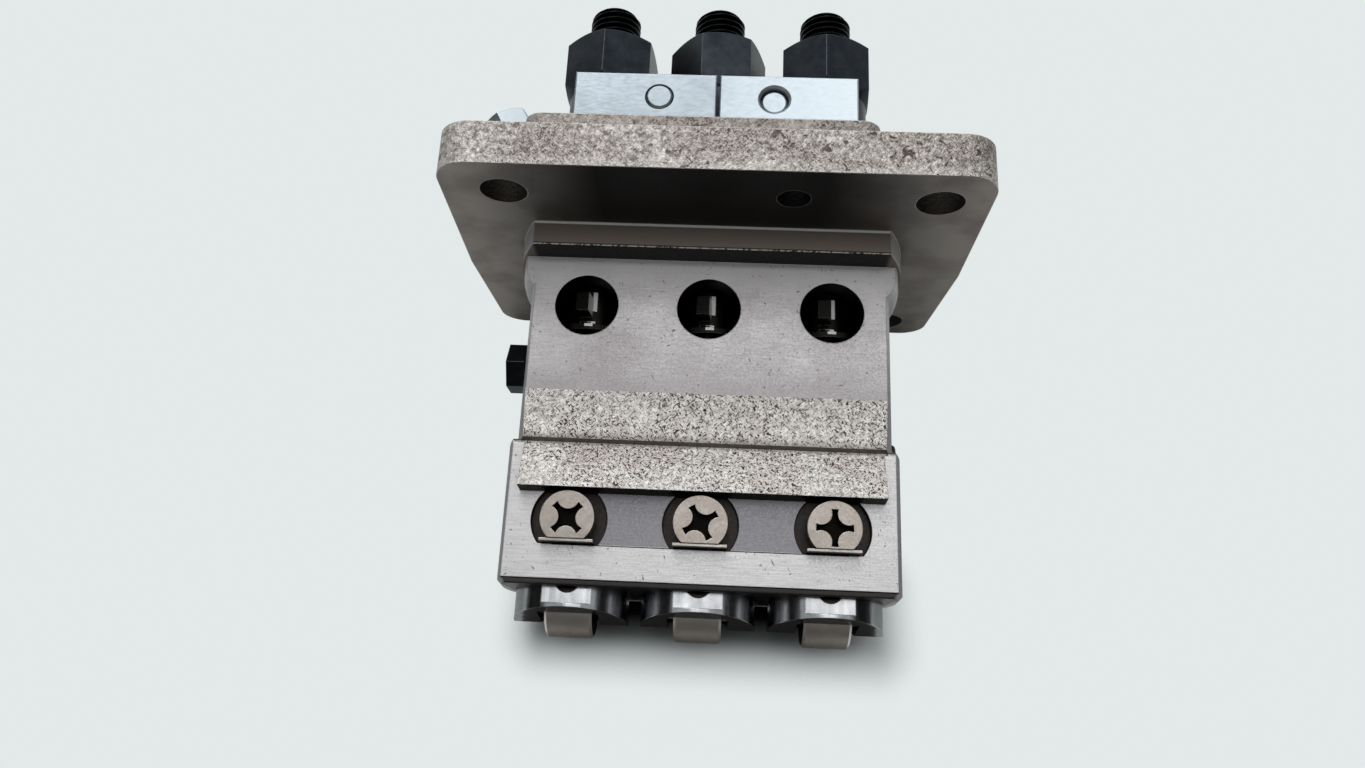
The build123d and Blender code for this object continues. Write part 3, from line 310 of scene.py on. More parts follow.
# %% Faces to the front
iron, tree, shader = start("shot-blasted and milled grey iron")
at = spot(tree)
front = where((at.faces_back, -0.75, -0.85))
ribs = where(front, (at.faces_up, 0.08, 0.12), (at.up, RIBS_TOP + 0.4, RIBS_TOP))
above = where((at.up, SKIN_FOOT - 0.08, SKIN_FOOT), (at.up, SKIN_TOP + 0.05, SKIN_TOP - 0.05))
skin = where(ribs, above, join="MAXIMUM")
collar = where(front, (at.up, 0.0, -0.1), (at.back, COLLAR_FRONT + 0.5, COLLAR_FRONT))
low_ends = where((at.beside, STEP_HALF, STEP_HALF + 0.2), (at.up, RIBS_BETWEEN, RIBS_BETWEEN - 0.2))
below_step = (at.up, STEP_FOOT + 0.1, STEP_FOOT - 0.1)
low_face = where(front, where(below_step, low_ends, join="MAXIMUM"))
step_heights = where((at.up, -54.0, -54.5), (at.up, -66.3, -66.0))
# the step's face is painted darker, with a darker line under it: painted shade in the recess
step = where(front, (at.back, STEP_FACE - 0.1, STEP_FACE), step_heights)
step_shade_line = where(
    front, (at.up, STEP_FOOT + 0.05, STEP_FOOT), (at.up, STEP_FOOT - 0.2, STEP_FOOT - 0.15),
    (at.beside, STEP_HALF + 0.2, STEP_HALF),
)
print("facing the front: skin, collar, low face, step and the line under the step")

# %% [markdown]
# Faces that look down get little light, so they carry painted shade. The flange's underside is painted
# darkest in the middle, as painted shade and a painted reflection of the dark collar. The chamfer at the
# body's foot is painted darker, with a thin painted shade line along both its edges. Lamps alone leave these
# faces too light, so they are painted as well.

# %% Faces that look down
faces_down = where((at.faces_up, -0.8, -0.9))
# the shares below mark painted shade on faces that look down
underside = where(faces_down, (at.up, -1.0, -0.5))
undercut_shade = where(faces_down, (at.up, -1.0, -1.5), (at.up, -62.0, -60.0))
rib_gap_shade = where(faces_down, (at.up, -44.0, -44.5), (at.up, -46.5, -46.0))
collar_ends_shade = where(faces_down, (at.up, -4.0, -5.0), (at.up, -9.0, -7.0), (at.beside, 36.2, 37.2))
foot = where((at.faces_up, -0.3, -0.5), (at.up, FOOT_CHAMFER + 0.2, FOOT_CHAMFER), (at.beside, 38.5, 37.5))
upper_line = (at.up, -72.42, -72.36)
lower_line = (at.up, -72.9, -73.25)
foot_shade_lines = where(foot, where(upper_line, lower_line, join="MAXIMUM"))
print("looking down: underside, undercuts, rib gap, collar ends and foot")

# %% [markdown]
# Inside walls are painted dark, as painted shade: the bores and rooms, the screws' pockets, the four
# mounting holes and the jacking hole. They are found by their distance from an axis.

# %% Inner walls
ROOMS_R, ROOMS_FRONT, ROOMS_BACK = 36.0, -13.1, 17.2  # the rooms all lie within these
POCKET_FRONT, POCKET_FLOOR, POCKETS_HALF = -18.6, -13.2, 33.5
POCKET_R, BOLT_R, JACK_R = 7.4, 4.65, 3.3
BOLT_MIDDLE = (1.6, -0.4)
BOLT_CORNER = (42.3, 31.5)  # of a mounting hole, from that middle
JACK = (15.8, -32)


def hole_wall(away, radius):
    """Where an upright hole's wall is, by the distance from its axis."""
    return where((away, radius + 0.1, radius + 0.05), (at.level, 0.5, 0.3))


from_middle = distance(at.right, at.back, (0, 0))
inside = where(
    (from_middle, ROOMS_R + 0.2, ROOMS_R - 0.2),
    (at.back, ROOMS_FRONT - 0.2, ROOMS_FRONT), (at.back, ROOMS_BACK + 0.2, ROOMS_BACK),
    (at.up, -0.2, -0.6), (at.up, BODY_FOOT - 0.18, BODY_FOOT),
)
from_screw = distance(at.from_line, at.up, (0, SCREW_UP))
pocket_shade = where(
    (from_screw, POCKET_R + 0.1, POCKET_R), (at.beside, POCKETS_HALF + 0.5, POCKETS_HALF),
    (at.back, POCKET_FRONT - 0.2, POCKET_FRONT), (at.back, POCKET_FLOOR + 0.2, POCKET_FLOOR),
    (at.up, RIBS_FOOT + 0.1, RIBS_FOOT), (at.up, STEP_FOOT - 0.1, STEP_FOOT),
)
# the four mounting holes are one hole, mirrored about their middle both ways
shifted = {0: at.mm, 1: (*BOLT_MIDDLE, 0)}
from_bolts = node(tree, "ShaderNodeVectorMath", shifted, operation="SUBTRACT").outputs[0]
mirrored = node(tree, "ShaderNodeVectorMath", {0: from_bolts}, operation="ABSOLUTE").outputs[0]
bolt_right, bolt_back, _ = node(tree, "ShaderNodeSeparateXYZ", {0: mirrored}).outputs
holes = hole_wall(distance(bolt_right, bolt_back, BOLT_CORNER), BOLT_R)
jack_hole_shade = hole_wall(distance(at.right, at.back, JACK), JACK_R)
print("inner walls: rooms, pockets, mounting holes and jacking hole")


# %% [markdown]
# The flecks are short strokes, 0.1 to 0.2 mm wide and 0.3 to 0.4 mm long. One stretched noise gives
# strokes one way only, so three are stretched along crossed diagonals and cut off high. Pores in
# the milled faces are the same with larger, rarer strokes. A cut-off noise shows only the middle of
# its cells, so a cell has to be larger than the stroke that it should give.

# %% Strokes
STROKE_IN_CELL = 0.42  # share of a noise cell that a stroke takes up after the cut


def strokes(turn, width_mm, length_mm, low_cut, high_cut):
    """Strokes of about that width and length in the front plane, turned by degrees."""
    turned = {"Vector": at.mm, "Axis": (0, 1, 0), "Angle": math.radians(turn)}
    shape = {0: node(tree, "ShaderNodeVectorRotate", turned).outputs[0]}
    shape[1] = (1 / width_mm, 1 / width_mm, 1 / length_mm)
    drawn = node(tree, "ShaderNodeVectorMath", shape, operation="MULTIPLY").outputs[0]
    pattern = {"Vector": drawn, "Scale": STROKE_IN_CELL, "Detail": 1.5, "Distortion": 0.5}
    return where((node(tree, "ShaderNodeTexNoise", pattern).outputs[0], low_cut, high_cut))


flecks = where(
    strokes(38, 0.11, 0.42, 0.61, 0.635), strokes(-50, 0.1, 0.36, 0.615, 0.64),
    strokes(-12, 0.17, 0.3, 0.66, 0.68), join="MAXIMUM",
)
pores = where(strokes(25, 0.2, 0.6, 0.70, 0.75), strokes(-65, 0.22, 0.5, 0.71, 0.76), join="MAXIMUM")
# painted glints on the flange's dents
painted_glints = strokes(-38, 0.1, 0.34, 0.58, 0.63)
print("flecks in three directions and pores in two")

# %% [markdown]
# Slower patterns vary the iron: broad patches, rust pits, mottling, the ragged edge of a painted highlight,
# hammering and grit, and scratches that the cutter drew from left to right. Each is a noise whose scale is
# one over its real size. Rust pits lie only on the flange and the deck, and are stronger to the right.

# %% Clouds, pits and scratches
PATCH, PIT, MOTTLE, RAGGED_MM, HAMMER, GRIT = 14, 1.818, 1.25, 0.625, 0.6667, 0.4167  # millimetres
SCRATCH, SCRATCH_STRETCH = 0.5, (0.12, 1.0, 2.2)  # 4 mm long and 0.2 mm high

patches = {"Vector": at.mm, "Scale": 1 / PATCH, "Detail": 3.0}
broad = node(tree, "ShaderNodeTexNoise", patches).outputs[0]
dents = {"Vector": at.mm, "Scale": 1 / PIT, "Detail": 2.0, "Distortion": 0.8}
rust = node(tree, "ShaderNodeTexNoise", dents).outputs[0]
pitted = where((rust, 0.64, 0.67), above, (at.right, -90.0, 30.0))
mottling = {"Vector": at.mm, "Scale": 1 / MOTTLE, "Detail": 5.0, "Roughness": 0.65}
mottle = node(tree, "ShaderNodeTexNoise", mottling).outputs[0]
ragged_pattern = {"Vector": at.mm, "Scale": 1 / RAGGED_MM, "Detail": 4.0, "Roughness": 0.7}
ragged = node(tree, "ShaderNodeTexNoise", ragged_pattern).outputs[0]
hammering = {"Vector": at.mm, "Scale": 1 / HAMMER, "Detail": 3.0, "Distortion": 0.6}
hammered = node(tree, "ShaderNodeTexNoise", hammering).outputs[0]
blasting = {"Vector": at.mm, "Scale": 1 / GRIT, "Detail": 3.0}
grit = node(tree, "ShaderNodeTexNoise", blasting).outputs[0]
stretched = {0: at.mm, 1: SCRATCH_STRETCH}
scratched = node(tree, "ShaderNodeVectorMath", stretched, operation="MULTIPLY").outputs[0]
cutting = {"Vector": scratched, "Scale": 1 / SCRATCH, "Detail": 3.0}
scratch = node(tree, "ShaderNodeTexNoise", cutting).outputs[0]
print("seven patterns, from", PATCH, "mm patches to", GRIT, "mm grit")


# %% [markdown]
# Freshly milled grey iron is a faintly lilac grey, with scratches a little darker than the ground and pores
# nearly brown. The face is lighter towards the flange and darker above the ribs, as light falls there. The
# distant lamps give too little of that, so it goes on by height as a painted highlight near the flange and
# painted shade above the ribs. The low face at the foot was ground cleaner.

# %% Colours of milled iron
# a painted highlight near the flange and painted shade above the ribs
painted_light_near_flange = where((at.up, -13.0, -7.0), 0.7)
painted_shade_near_ribs = where((at.up, -25.0, -33.0), 0.7)
milled = coats(
    "a09a9c",
    (where((broad, 0.35, 0.65)), "bab6b6"),
    (where((scratch, 0.45, 0.75), 0.45), "857f82"),
    (where((mottle, 0.5, 0.66), 0.12), "d2cecf"),
    (painted_light_near_flange, "c9c6c6"),
    (painted_shade_near_ribs, "8b8688"),
    (where(pores, 0.8), "5c5552"),
)
clean = coats("c2bfc0", (where((scratch, 0.4, 0.7)), "b2aeaf"), (where(pores, 0.8), "4a4340"))
print("milled iron, and the cleaner ground face at the foot")

# %% [markdown]
# The blasted skin is the same iron broken up by grit, so it scatters more light. On the flange it is
# browner, mottled and pitted, with painted glints on its dents and a painted highlight along its lower edge.
# On the ribs it is nearly white, with a line of painted shade where the two ribs meet.

# %% Colours of blasted iron
# painted shade where the two ribs meet
rib_meeting_shade = where((at.up, -43.2, -45.0), (at.up, RIBS_BETWEEN, RIBS_BETWEEN + 0.3), 0.55)
ribbed = coats(
    "c8c0bb",
    (where((mottle, 0.35, 0.65)), "f4f1ee"),
    (where((broad, 0.45, 0.7), 0.35), "b59f99"),
    (rib_meeting_shade, "6a615b"),
)
# a painted highlight along the flange's lower edge
rim_foot_highlight = where((at.up, 2.4, 0.4), 0.5)
deck_sides = where((at.up, 9.2, 9.6), 0.55)  # above the flange, which is 8.9 mm thick
rimmed = coats(
    "81776f",
    (where((mottle, 0.38, 0.62)), "dcd6d2"),
    (where(painted_glints, 0.6), "efeae6"),
    (where((broad, 0.4, 0.6), 0.4), "8d817b"),
    (rim_foot_highlight, "d6d0cc"),
    (deck_sides, "8e8581"),
)
fleck_share = where(where(ribs, (broad, 0.2, 0.5)), where((broad, 0.38, 0.6), 0.7), join="MAXIMUM")
blasted = coats(
    ribbed,
    (above, rimmed),
    (where(flecks, fleck_share, 0.95), "1f1a18"),
    (where(pitted, 0.85), "4f3f38"),
)
print("blasted iron on the ribs and on the flange")

# %% [markdown]
# The collar is as cast. Its top edge was caught by the cutter when the flange was faced, which left a land,
# and the land carries a painted highlight. Its lowest strip is painted dark, with a ragged painted highlight
# along the lower edge itself. The middle of the flange's underside is painted black: painted shade and a
# painted reflection of the dark collar.

# %% The whole casting's colour
edges, rounded = edge_mask(tree, 0.35)
land_highlight = where(collar, (at.up, -0.05, -0.1), (at.up, -0.6, -0.55))
dark_collar_band = where(collar, (at.up, -4.75, -4.85), 0.85)
collar_foot_highlight = where(collar, (at.up, COLLAR_FOOT + 0.1, COLLAR_FOOT), (ragged, 0.44, 0.5))
low_milled = node(tree, "ShaderNodeMath", {0: low_face, 1: skin}, operation="SUBTRACT", use_clamp=True)
stained = coats("aba19b", (where((broad, 0.45, 0.62), 0.5), "6d625c"))
# near-black in the middle: painted shade and a painted reflection of the dark collar; the stains lie further
# out
underside_shade = coats("100e0d", (where((at.beside, 22.0, 50.0)), stained))
iron_colour = coats(
    milled,
    (skin, blasted),
    (collar, "82776f"),
    (low_milled.outputs[0], clean),
    # painted shade on the flange's underside, darkest in the middle
    (where(underside, 0.97), underside_shade),
    # painted shade on the step's recessed face
    (step, "7c7a7e"),
    # worn edges, lighter also as a painted highlight
    (where(edges, 0.6), "e2dedb"),
    # a dark strip near the collar's lower edge, then painted highlights on that edge and on the land
    (dark_collar_band, "14110f"),
    (collar_foot_highlight, "efe9df"),
    (land_highlight, "fbf8f2"),
    # painted shade under ledges, in the rib gap and under the collar's ends
    (undercut_shade, "0f0d0c"),
    (rib_gap_shade, "7a726c"),
    (collar_ends_shade, "857b74"),
    # a painted shade line under the step
    (step_shade_line, "1d1a18"),
    # painted shade on the foot's chamfer, with painted shade lines along its edges
    (foot, "857f7c"),
    (foot_shade_lines, "181513"),
    # painted shade on the inner walls of rooms, pockets and holes
    (inside, "24211f"),
    (pocket_shade, "2b2725"),
    (holes, "2c2723"),
    (jack_hole_shade, "0a0908"),
)
tree.links.new(iron_colour, shader.inputs["Base Color"])
print("the casting has its colour, from milled faces to the jacking hole")

# %% [markdown]
# The milled faces are fairly glossy and the blasted skin dull. The bright lines on the collar are painted
# highlights, made plain paint white rather than metal, because metal there would only mirror the dark
# flange.
# The skin's dents are about 0.15 mm deep, and the milled faces' scratches about 0.01 mm.

# %% The casting's gloss and relief
metal_share = {0: 0.85, 1: where(land_highlight, collar_foot_highlight, join="MAXIMUM")}
metallic = node(tree, "ShaderNodeMath", metal_share, operation="SUBTRACT").outputs[0]
tree.links.new(metallic, shader.inputs["Metallic"])
gloss = {"Value": grit, 1: 0.3, 2: 0.7, 3: 0.42, 4: 0.56}
milled_rough = node(tree, "ShaderNodeMapRange", gloss).outputs[0]
rough = node(tree, "ShaderNodeMix", {0: skin, 2: milled_rough, 3: 0.66}, data_type="FLOAT").outputs[0]
tree.links.new(rough, shader.inputs["Roughness"])
dented = node(tree, "ShaderNodeMath", {0: hammered, 1: 2.5}, operation="MULTIPLY").outputs[0]
flecked = node(tree, "ShaderNodeMath", {0: flecks, 1: -0.6, 2: dented}, operation="MULTIPLY_ADD").outputs[0]
rugged = node(tree, "ShaderNodeMath", {0: flecked, 1: pitted}, operation="SUBTRACT").outputs[0]
heights = {0: skin, 2: where(scratch, 0.12), 3: rugged}
height = node(tree, "ShaderNodeMix", heights, data_type="FLOAT").outputs[0]
relief = {"Height": height, "Distance": 0.16 * MM, "Strength": 0.8, "Normal": rounded}
tree.links.new(node(tree, "ShaderNodeBump", relief).outputs[0], shader.inputs["Normal"])
finishes["cast_iron"] = iron
print("the casting's finish has", len(tree.nodes), "nodes")


# %% [markdown]
# ## Last coats by place
# Some finishes change in places. The guide screws' cross recesses, the rollers' ends and the tappets' slots
# carry painted shade, and the nipples' threads are painted darker. The control sleeves carry painted
# highlights, and the right lock block's zinc is painted lighter, as painted light. Each is one more coat of
# colour on the plain finish, picked out by where a point lies and how it faces.

# %% One more coat
def coat_over(finish, share, over):
    """Lays a last coat of colour over a finish, by share."""
    tree = finish.node_tree
    base = tree.nodes["Principled BSDF"].inputs["Base Color"]
    metal = base.links[0].from_socket
    tree.links.new(coats(metal, (share, over)), base)


RECESS_R, HEAD_FACE = 4.0, -17.6  # of the guide screws
head = finishes["screw_steel"]
at = spot(head.node_tree)
from_axis = distance(at.from_line, at.up, (0, SCREW_UP))
# the cross recess is painted near-black: painted shade
recess = where((from_axis, RECESS_R + 0.2, RECESS_R), (at.back, HEAD_FACE + 0.05, HEAD_FACE + 0.4))
coat_over(head, recess, "0d0b09")

NIPPLE_FOOT = 56.1
darkened = finishes["black_oxide"].copy()
darkened.name = "black oxide on turned steel, darker on the threads"
# the threads are painted near-black
threaded = where((spot(darkened.node_tree).up, NIPPLE_FOOT - 0.2, NIPPLE_FOOT + 0.2))
coat_over(darkened, threaded, "07080a")

roller = finishes["roller_steel"]
# the roller's end faces are painted dark: painted shade beside the tappet's walls
ends = where((spot(roller.node_tree).faces_aside, 0.8, 0.9))
coat_over(roller, ends, "141210")
print("recesses and roller ends in painted shade, darker threads")

# %% [markdown]
# Each control sleeve carries painted highlights in three places: the lug's right side, a strip up the front
# and a tip below it. They stand in the dark window, so they are painted light and not metal, because metal
# would mirror the dark.

# %% Painted highlights on the control sleeves
SLEEVE_FRONT, SOFT = -7.2, 0.1
sleeve = finishes["sleeve_steel"]
at = spot(sleeve.node_tree)


def highlight_within(left, right, top, foot):
    """A painted highlight between these places in millimetres, soft over a tenth."""
    sides = where((at.from_line, left, left + SOFT), (at.from_line, right, right - SOFT))
    return where(sides, (at.up, top, top - SOFT), (at.up, foot, foot + SOFT))


lug_side = where((at.faces_right, 0.6, 0.8), (at.back, SLEEVE_FRONT - 0.1, SLEEVE_FRONT - 0.3))
strip = highlight_within(0.4, 1.4, -10.5, -14.9)
tip = highlight_within(-0.6, 1.2, -17.2, -19.6)
lands = where(where(strip, tip, join="MAXIMUM"), (at.back, SLEEVE_FRONT + 1.2, SLEEVE_FRONT + 1.0))
# the lug's side, the strip and the tip together: painted highlights, white and not metal
ground = where(lug_side, lands, join="MAXIMUM")
coat_over(sleeve, ground, "f2f1ec")
not_metal = {0: 1.0, 1: ground}
metallic = node(sleeve.node_tree, "ShaderNodeMath", not_metal, operation="SUBTRACT").outputs[0]
sleeve.node_tree.links.new(metallic, sleeve.node_tree.nodes["Principled BSDF"].inputs["Metallic"])
print("painted highlights on 3 control sleeves")

# %% [markdown]
# The zinc on the right lock block is painted lighter than on the left one, more so towards its right end,
# and as light on the inlet union at the far left, as painted light. Only the place decides, so the rear
# blocks share it. Tappets are polished where they slide, but underneath, in the guide slot and in the
# roller's room they are only milled, and carry painted shade.

# %% Painted light on the zinc and painted shade on the tappets
zinc = finishes["zinc_plate"]
at = spot(zinc.node_tree)
# painted light on the right block and the inlet union
right_block_light = where((at.right, -10.0, 32.0), (at.right, -0.3, 0.3))
coat_over(zinc, where(right_block_light, (at.right, -37.0, -39.0), join="MAXIMUM"), "b2babf")

GUIDE_HALF, GUIDE_FLAT, GUIDE_FOOT = 2.5, -10.35, -74.4
ROOM_HALF_WIDE, ROOM_HALF_DEEP, ROOM_TOP = 5.93, 7.65, -67.3  # of the roller
tappet = finishes["tappet_steel"]
at = spot(tappet.node_tree)
# painted shade in the guide slot, the roller's room and on faces that look down
slot_wall = where(
    (at.beside_line, GUIDE_HALF + 0.05, GUIDE_HALF), (at.back, GUIDE_FLAT - 0.1, GUIDE_FLAT),
    (at.up, GUIDE_FOOT - 0.3, GUIDE_FOOT), (at.back, -5.0, -6.0),
)
roller_room = where(
    (at.beside_line, ROOM_HALF_WIDE + 0.05, ROOM_HALF_WIDE),
    (at.off_axis, ROOM_HALF_DEEP + 0.05, ROOM_HALF_DEEP), (at.up, ROOM_TOP + 0.1, ROOM_TOP),
)
shaded_below = where((at.faces_up, -0.5, -0.7), 0.9)
coat_over(tappet, where(shaded_below, slot_wall, roller_room, join="MAXIMUM"), "1b1917")
print("zinc brighter to the right, tappets dark below")

# %% [markdown]
# Every solid's material slot in the record names its finish, so the finishes go on by that name.
# Any material that a solid came with is taken off first.

# %% Give every solid its finish
slots = {part["node"]: part["material_slot"] for part in frame["record"]["subparts"]}
for name, piece in frame["nodes"].items():
    piece.data.materials.clear()
    piece.data.materials.append(finishes[slots[name]])
print(len(slots), "solids have their finish")


# %% [markdown]
# ## Threaded nipples
# Each high-pressure pipe screws onto an M12 x 1.5 nipple. The solid has a plain cylinder there, so
# its wall is cut away and a real helix takes its place, since the thread shows in the outline.
# A screw modifier would twist the ends, while a grid whose radius follows the turn fades cleanly.

# %% A thread's wall
THREAD_PITCH, THREAD_DEPTH, NIPPLE_R = 1.5 * MM, 0.92 * MM, 6.0 * MM
THREAD_FOOT, THREAD_TOP = NIPPLE_FOOT * MM, 64.2 * MM
FADE_IN, FADE_OUT = 0.8 * MM, 0.9 * MM  # the thread runs out over this at its foot and its top
CREST_WIDTH, FLANK_SLOPE = 1.5, 3.6  # of the profile over one turn, before it is cut to 0 and 1
AROUND, PER_TURN = 72, 10


def thread_radius(z, share_round, foot, top):
    """The thread's radius at a height and a share of the way round."""
    fade = min(1.0, (z - foot) / FADE_IN, (top - z) / FADE_OUT)
    phase = ((z - foot) / THREAD_PITCH - share_round) % 1.0
    crest = min(1.0, max(0.0, CREST_WIDTH - FLANK_SLOPE * abs(phase - 0.5)))
    return NIPPLE_R - THREAD_DEPTH * (1 - crest * fade)


def thread_wall(mesh, x, foot, top):
    """Adds an outside thread's wall to a bmesh, round the pumping line at x."""
    rows = round((top - foot) / THREAD_PITCH * PER_TURN)
    rings = []
    for row in range(rows + 1):
        z = foot + (top - foot) * row / rows
        ring = []
        for step in range(AROUND):
            angle = 2 * math.pi * step / AROUND
            radius = thread_radius(z, step / AROUND, foot, top)
            ring.append(mesh.verts.new((x + radius * math.cos(angle), radius * math.sin(angle), z)))
        rings.append(ring)
    for below, over in zip(rings, rings[1:]):
        for step in range(AROUND):
            after = (step + 1) % AROUND
            mesh.faces.new((below[step], below[after], over[after], over[step])).smooth = True


print("a thread of", round((THREAD_TOP - THREAD_FOOT) / THREAD_PITCH, 1), "turns")

# %% Cut the threads
CONE_R = 5.05 * MM  # the nipple's conical mouth lies inside this and stays
for number in (1, 2, 3):
    name = f"delivery_holder_{number}"
    x = middle_x(name)
    mesh = bmesh.new()
    mesh.from_mesh(frame["nodes"][name].data)
    foot = THREAD_FOOT - 0.01 * MM
    wall = [
        face for face in mesh.faces
        if all(v.co.z > foot and math.hypot(v.co.x - x, v.co.y) > CONE_R for v in face.verts)
    ]
    bmesh.ops.delete(mesh, geom=wall, context="FACES")
    thread_wall(mesh, x, THREAD_FOOT, THREAD_TOP)
    data = bpy.data.meshes.new(f"threaded_holder_{number}")
    mesh.to_mesh(data)
    mesh.free()
    holder = bpy.data.objects.new(f"threaded_holder_{number}", data)
    scene.collection.objects.link(holder)
    data.materials.append(darkened)
    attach(holder, "housing")
    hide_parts(name)
print("3 delivery holders with M12 x 1.5 threads")


# %% [markdown]
# ## Springs
# A tappet's return spring stands between the housing and the tappet, so it must shorten as the tappet rises,
# and a valve's spring shortens as the valve lifts. Here each spring is a copy of its solid's mesh, with a
# mesh of its own, held by the housing; the copy does not squash as the tappet or the valve lifts. A spring
# that only rode on the tappet would push its upper end into the housing.

# %% Spring copies held by the housing
TAPPET_LIFT, VALVE_LIFT = 7 * MM, 2 * MM
for number in (1, 2, 3):
    x = middle_x(f"plunger_spring_{number}")
    for name, joint, lift in ((f"plunger_spring_{number}", f"tappet_lift_{number}", TAPPET_LIFT),
                              (f"valve_spring_{number}", f"valve_lift_{number}", VALVE_LIFT)):
        spring = bpy.data.objects.new(f"live_{name}", frame["nodes"][name].data.copy())
        scene.collection.objects.link(spring)
        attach(spring, "housing")
        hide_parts(name)
        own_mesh(spring)


# %% [markdown]
# ## Studio
# The pump was laid on its back on a pale table under soft light from its top end. Upright, that is
# a large light above the front, a bright room in front of it, and little light from below. The room
# lights matt surfaces less than it shows in mirrors, so shadows keep some depth.

# %% The room
ROOM_LIGHT = 0.55  # of its brightness, as light on matt surfaces
world = bpy.data.worlds.new("pale studio")
scene.world = world
world.use_nodes = True
tree = world.node_tree
path = node(tree, "ShaderNodeLightPath").outputs
rays = [path[f"Is {kind} Ray"] for kind in ("Camera", "Glossy", "Transmission")]
seen = where(*rays, join="MAXIMUM")
strength = node(tree, "ShaderNodeMapRange", {"Value": seen, 3: ROOM_LIGHT, 4: 1.0}).outputs[0]
sky = tree.nodes["Background"]
sky.inputs["Color"].default_value = linear("e3e9e9")
tree.links.new(strength, sky.inputs["Strength"])
print("a pale room that lights at", ROOM_LIGHT)


# %% [markdown]
# The table behind and the floor below are one-sided sheets that only the camera sees, so neither
# stands in the way of light or of another view. Each is drawn only near the pump, where a shadow
# would show, and fades into the room. Between the rollers and close beside them the real table gets
# almost no light, less than these lamps leave it, so it is painted dark there.

# %% A staged sheet
def sheet(name, corners, material, **shown_to):
    """A flat staged sheet through four corners in millimetres, shown to some rays only."""
    data = bpy.data.meshes.new(name)
    data.from_pydata([Vector(c) * MM for c in corners], [], [(0, 1, 2, 3)])
    data.materials.append(material)
    made = bpy.data.objects.new(name, data)
    scene.collection.objects.link(made)
    for ray, shown in shown_to.items():
        setattr(made, f"visible_{ray}", shown)
    return made


print("sheets are staged, so they are no part of the pump")

# %% How far from the pump
def from_block(tree, place, middle, half):
    """How far a place is from a block, in metres. Its middle and half sizes are in millimetres."""
    kind = "ShaderNodeVectorMath"
    offset = node(tree, kind, {0: place, 1: Vector(middle) * MM}, operation="SUBTRACT").outputs[0]
    beside = node(tree, kind, {0: offset}, operation="ABSOLUTE").outputs[0]
    beyond = node(tree, kind, {0: beside, 1: Vector(half) * MM}, operation="SUBTRACT").outputs[0]
    outside = node(tree, kind, {0: beyond, 1: (0, 0, 0)}, operation="MAXIMUM").outputs[0]
    return node(tree, kind, {0: outside}, operation="LENGTH").outputs["Value"]


print("inside the block the distance is 0")


# %% Ground that fades out
SHADOW_HALF, SHADOW_EDGE = 36 * MM, 20 * MM  # the dark tone ends at the first, and is full at the second
SHADOW_FOOT, SHADOW_TOP = -84 * MM, -76 * MM


def table_material(name, middle, half, reach, strongest):
    """Pale ground round a block of these half sizes, that fades into the room over its reach."""
    made, tree, _ = start(name)
    tree.nodes.clear()
    place = node(tree, "ShaderNodeTexCoord").outputs["Object"]
    away = from_block(tree, place, middle, half)
    fading = {"Value": away, 1: 0.0, 2: reach * MM, 3: strongest, 4: 0.0}
    fade = node(tree, "ShaderNodeMapRange", fading, interpolation_type="SMOOTHSTEP").outputs[0]
    back = node(tree, "ShaderNodeNewGeometry").outputs["Backfacing"]
    shown = node(tree, "ShaderNodeMath", {0: fade, 1: back}, operation="SUBTRACT", use_clamp=True)
    right, _, up = node(tree, "ShaderNodeSeparateXYZ", {0: place}).outputs
    beside = node(tree, "ShaderNodeMath", {0: right}, operation="ABSOLUTE").outputs[0]
    shadow = where((beside, SHADOW_HALF, SHADOW_EDGE), (up, SHADOW_FOOT, SHADOW_TOP))
    pale = node(tree, "ShaderNodeBsdfDiffuse", {"Color": coats("e9eeee", (shadow, "2b2c2d"))})
    clear = node(tree, "ShaderNodeBsdfTransparent")
    surfaces = {0: shown.outputs[0], 1: clear.outputs[0], 2: pale.outputs[0]}
    mixed = node(tree, "ShaderNodeMixShader", surfaces)
    node(tree, "ShaderNodeOutputMaterial", {"Surface": mixed.outputs[0]})
    return made


print("the table is darkest within", SHADOW_EDGE / MM, "mm of the middle")

# %% Table and floor
CAMERA_ONLY = {"diffuse": False, "glossy": False, "transmission": False, "shadow": False}
TABLE_HALF, FLOOR_HALF = 400, 900
TABLE_TOP, TABLE_FOOT = (98.3, 190), (-95, -435)  # back and up of its edges
FLOOR = -82.4  # just under the tappets
# the table touches the flange's rear edge and the roller end of the body's back
table_corners = [
    (-TABLE_HALF, *TABLE_FOOT), (TABLE_HALF, *TABLE_FOOT),
    (TABLE_HALF, *TABLE_TOP), (-TABLE_HALF, *TABLE_TOP),
]
sheet("table", table_corners,
      table_material("matt white table", (2, 20, -74), (35, 60, 6), 13, 1.0), **CAMERA_ONLY)
floor_corners = [
    (-FLOOR_HALF, -FLOOR_HALF, FLOOR), (FLOOR_HALF, -FLOOR_HALF, FLOOR),
    (FLOOR_HALF, FLOOR_HALF, FLOOR), (-FLOOR_HALF, FLOOR_HALF, FLOOR),
]
sheet("floor", floor_corners,
      table_material("matt white floor", (0, 0, FLOOR), (36, 10, 10), 60, 0.75), **CAMERA_ONLY)
print("table and floor, seen by the camera only")

# %% [markdown]
# The soft light comes from the pump's top end, and a second, weaker one fills the front. Both are
# large, so their highlights stay soft and their shadows faint.

# %% Light
def softbox(name, place, aim, size, power):
    """A square area light in millimetres and watts."""
    data = bpy.data.lights.new(name, "AREA")
    data.size = size * MM
    data.energy = power
    made = bpy.data.objects.new(name, data)
    scene.collection.objects.link(made)
    made.location = Vector(place) * MM
    made.rotation_euler = (Vector(aim) - Vector(place)).to_track_quat("-Z", "Y").to_euler()
    return made


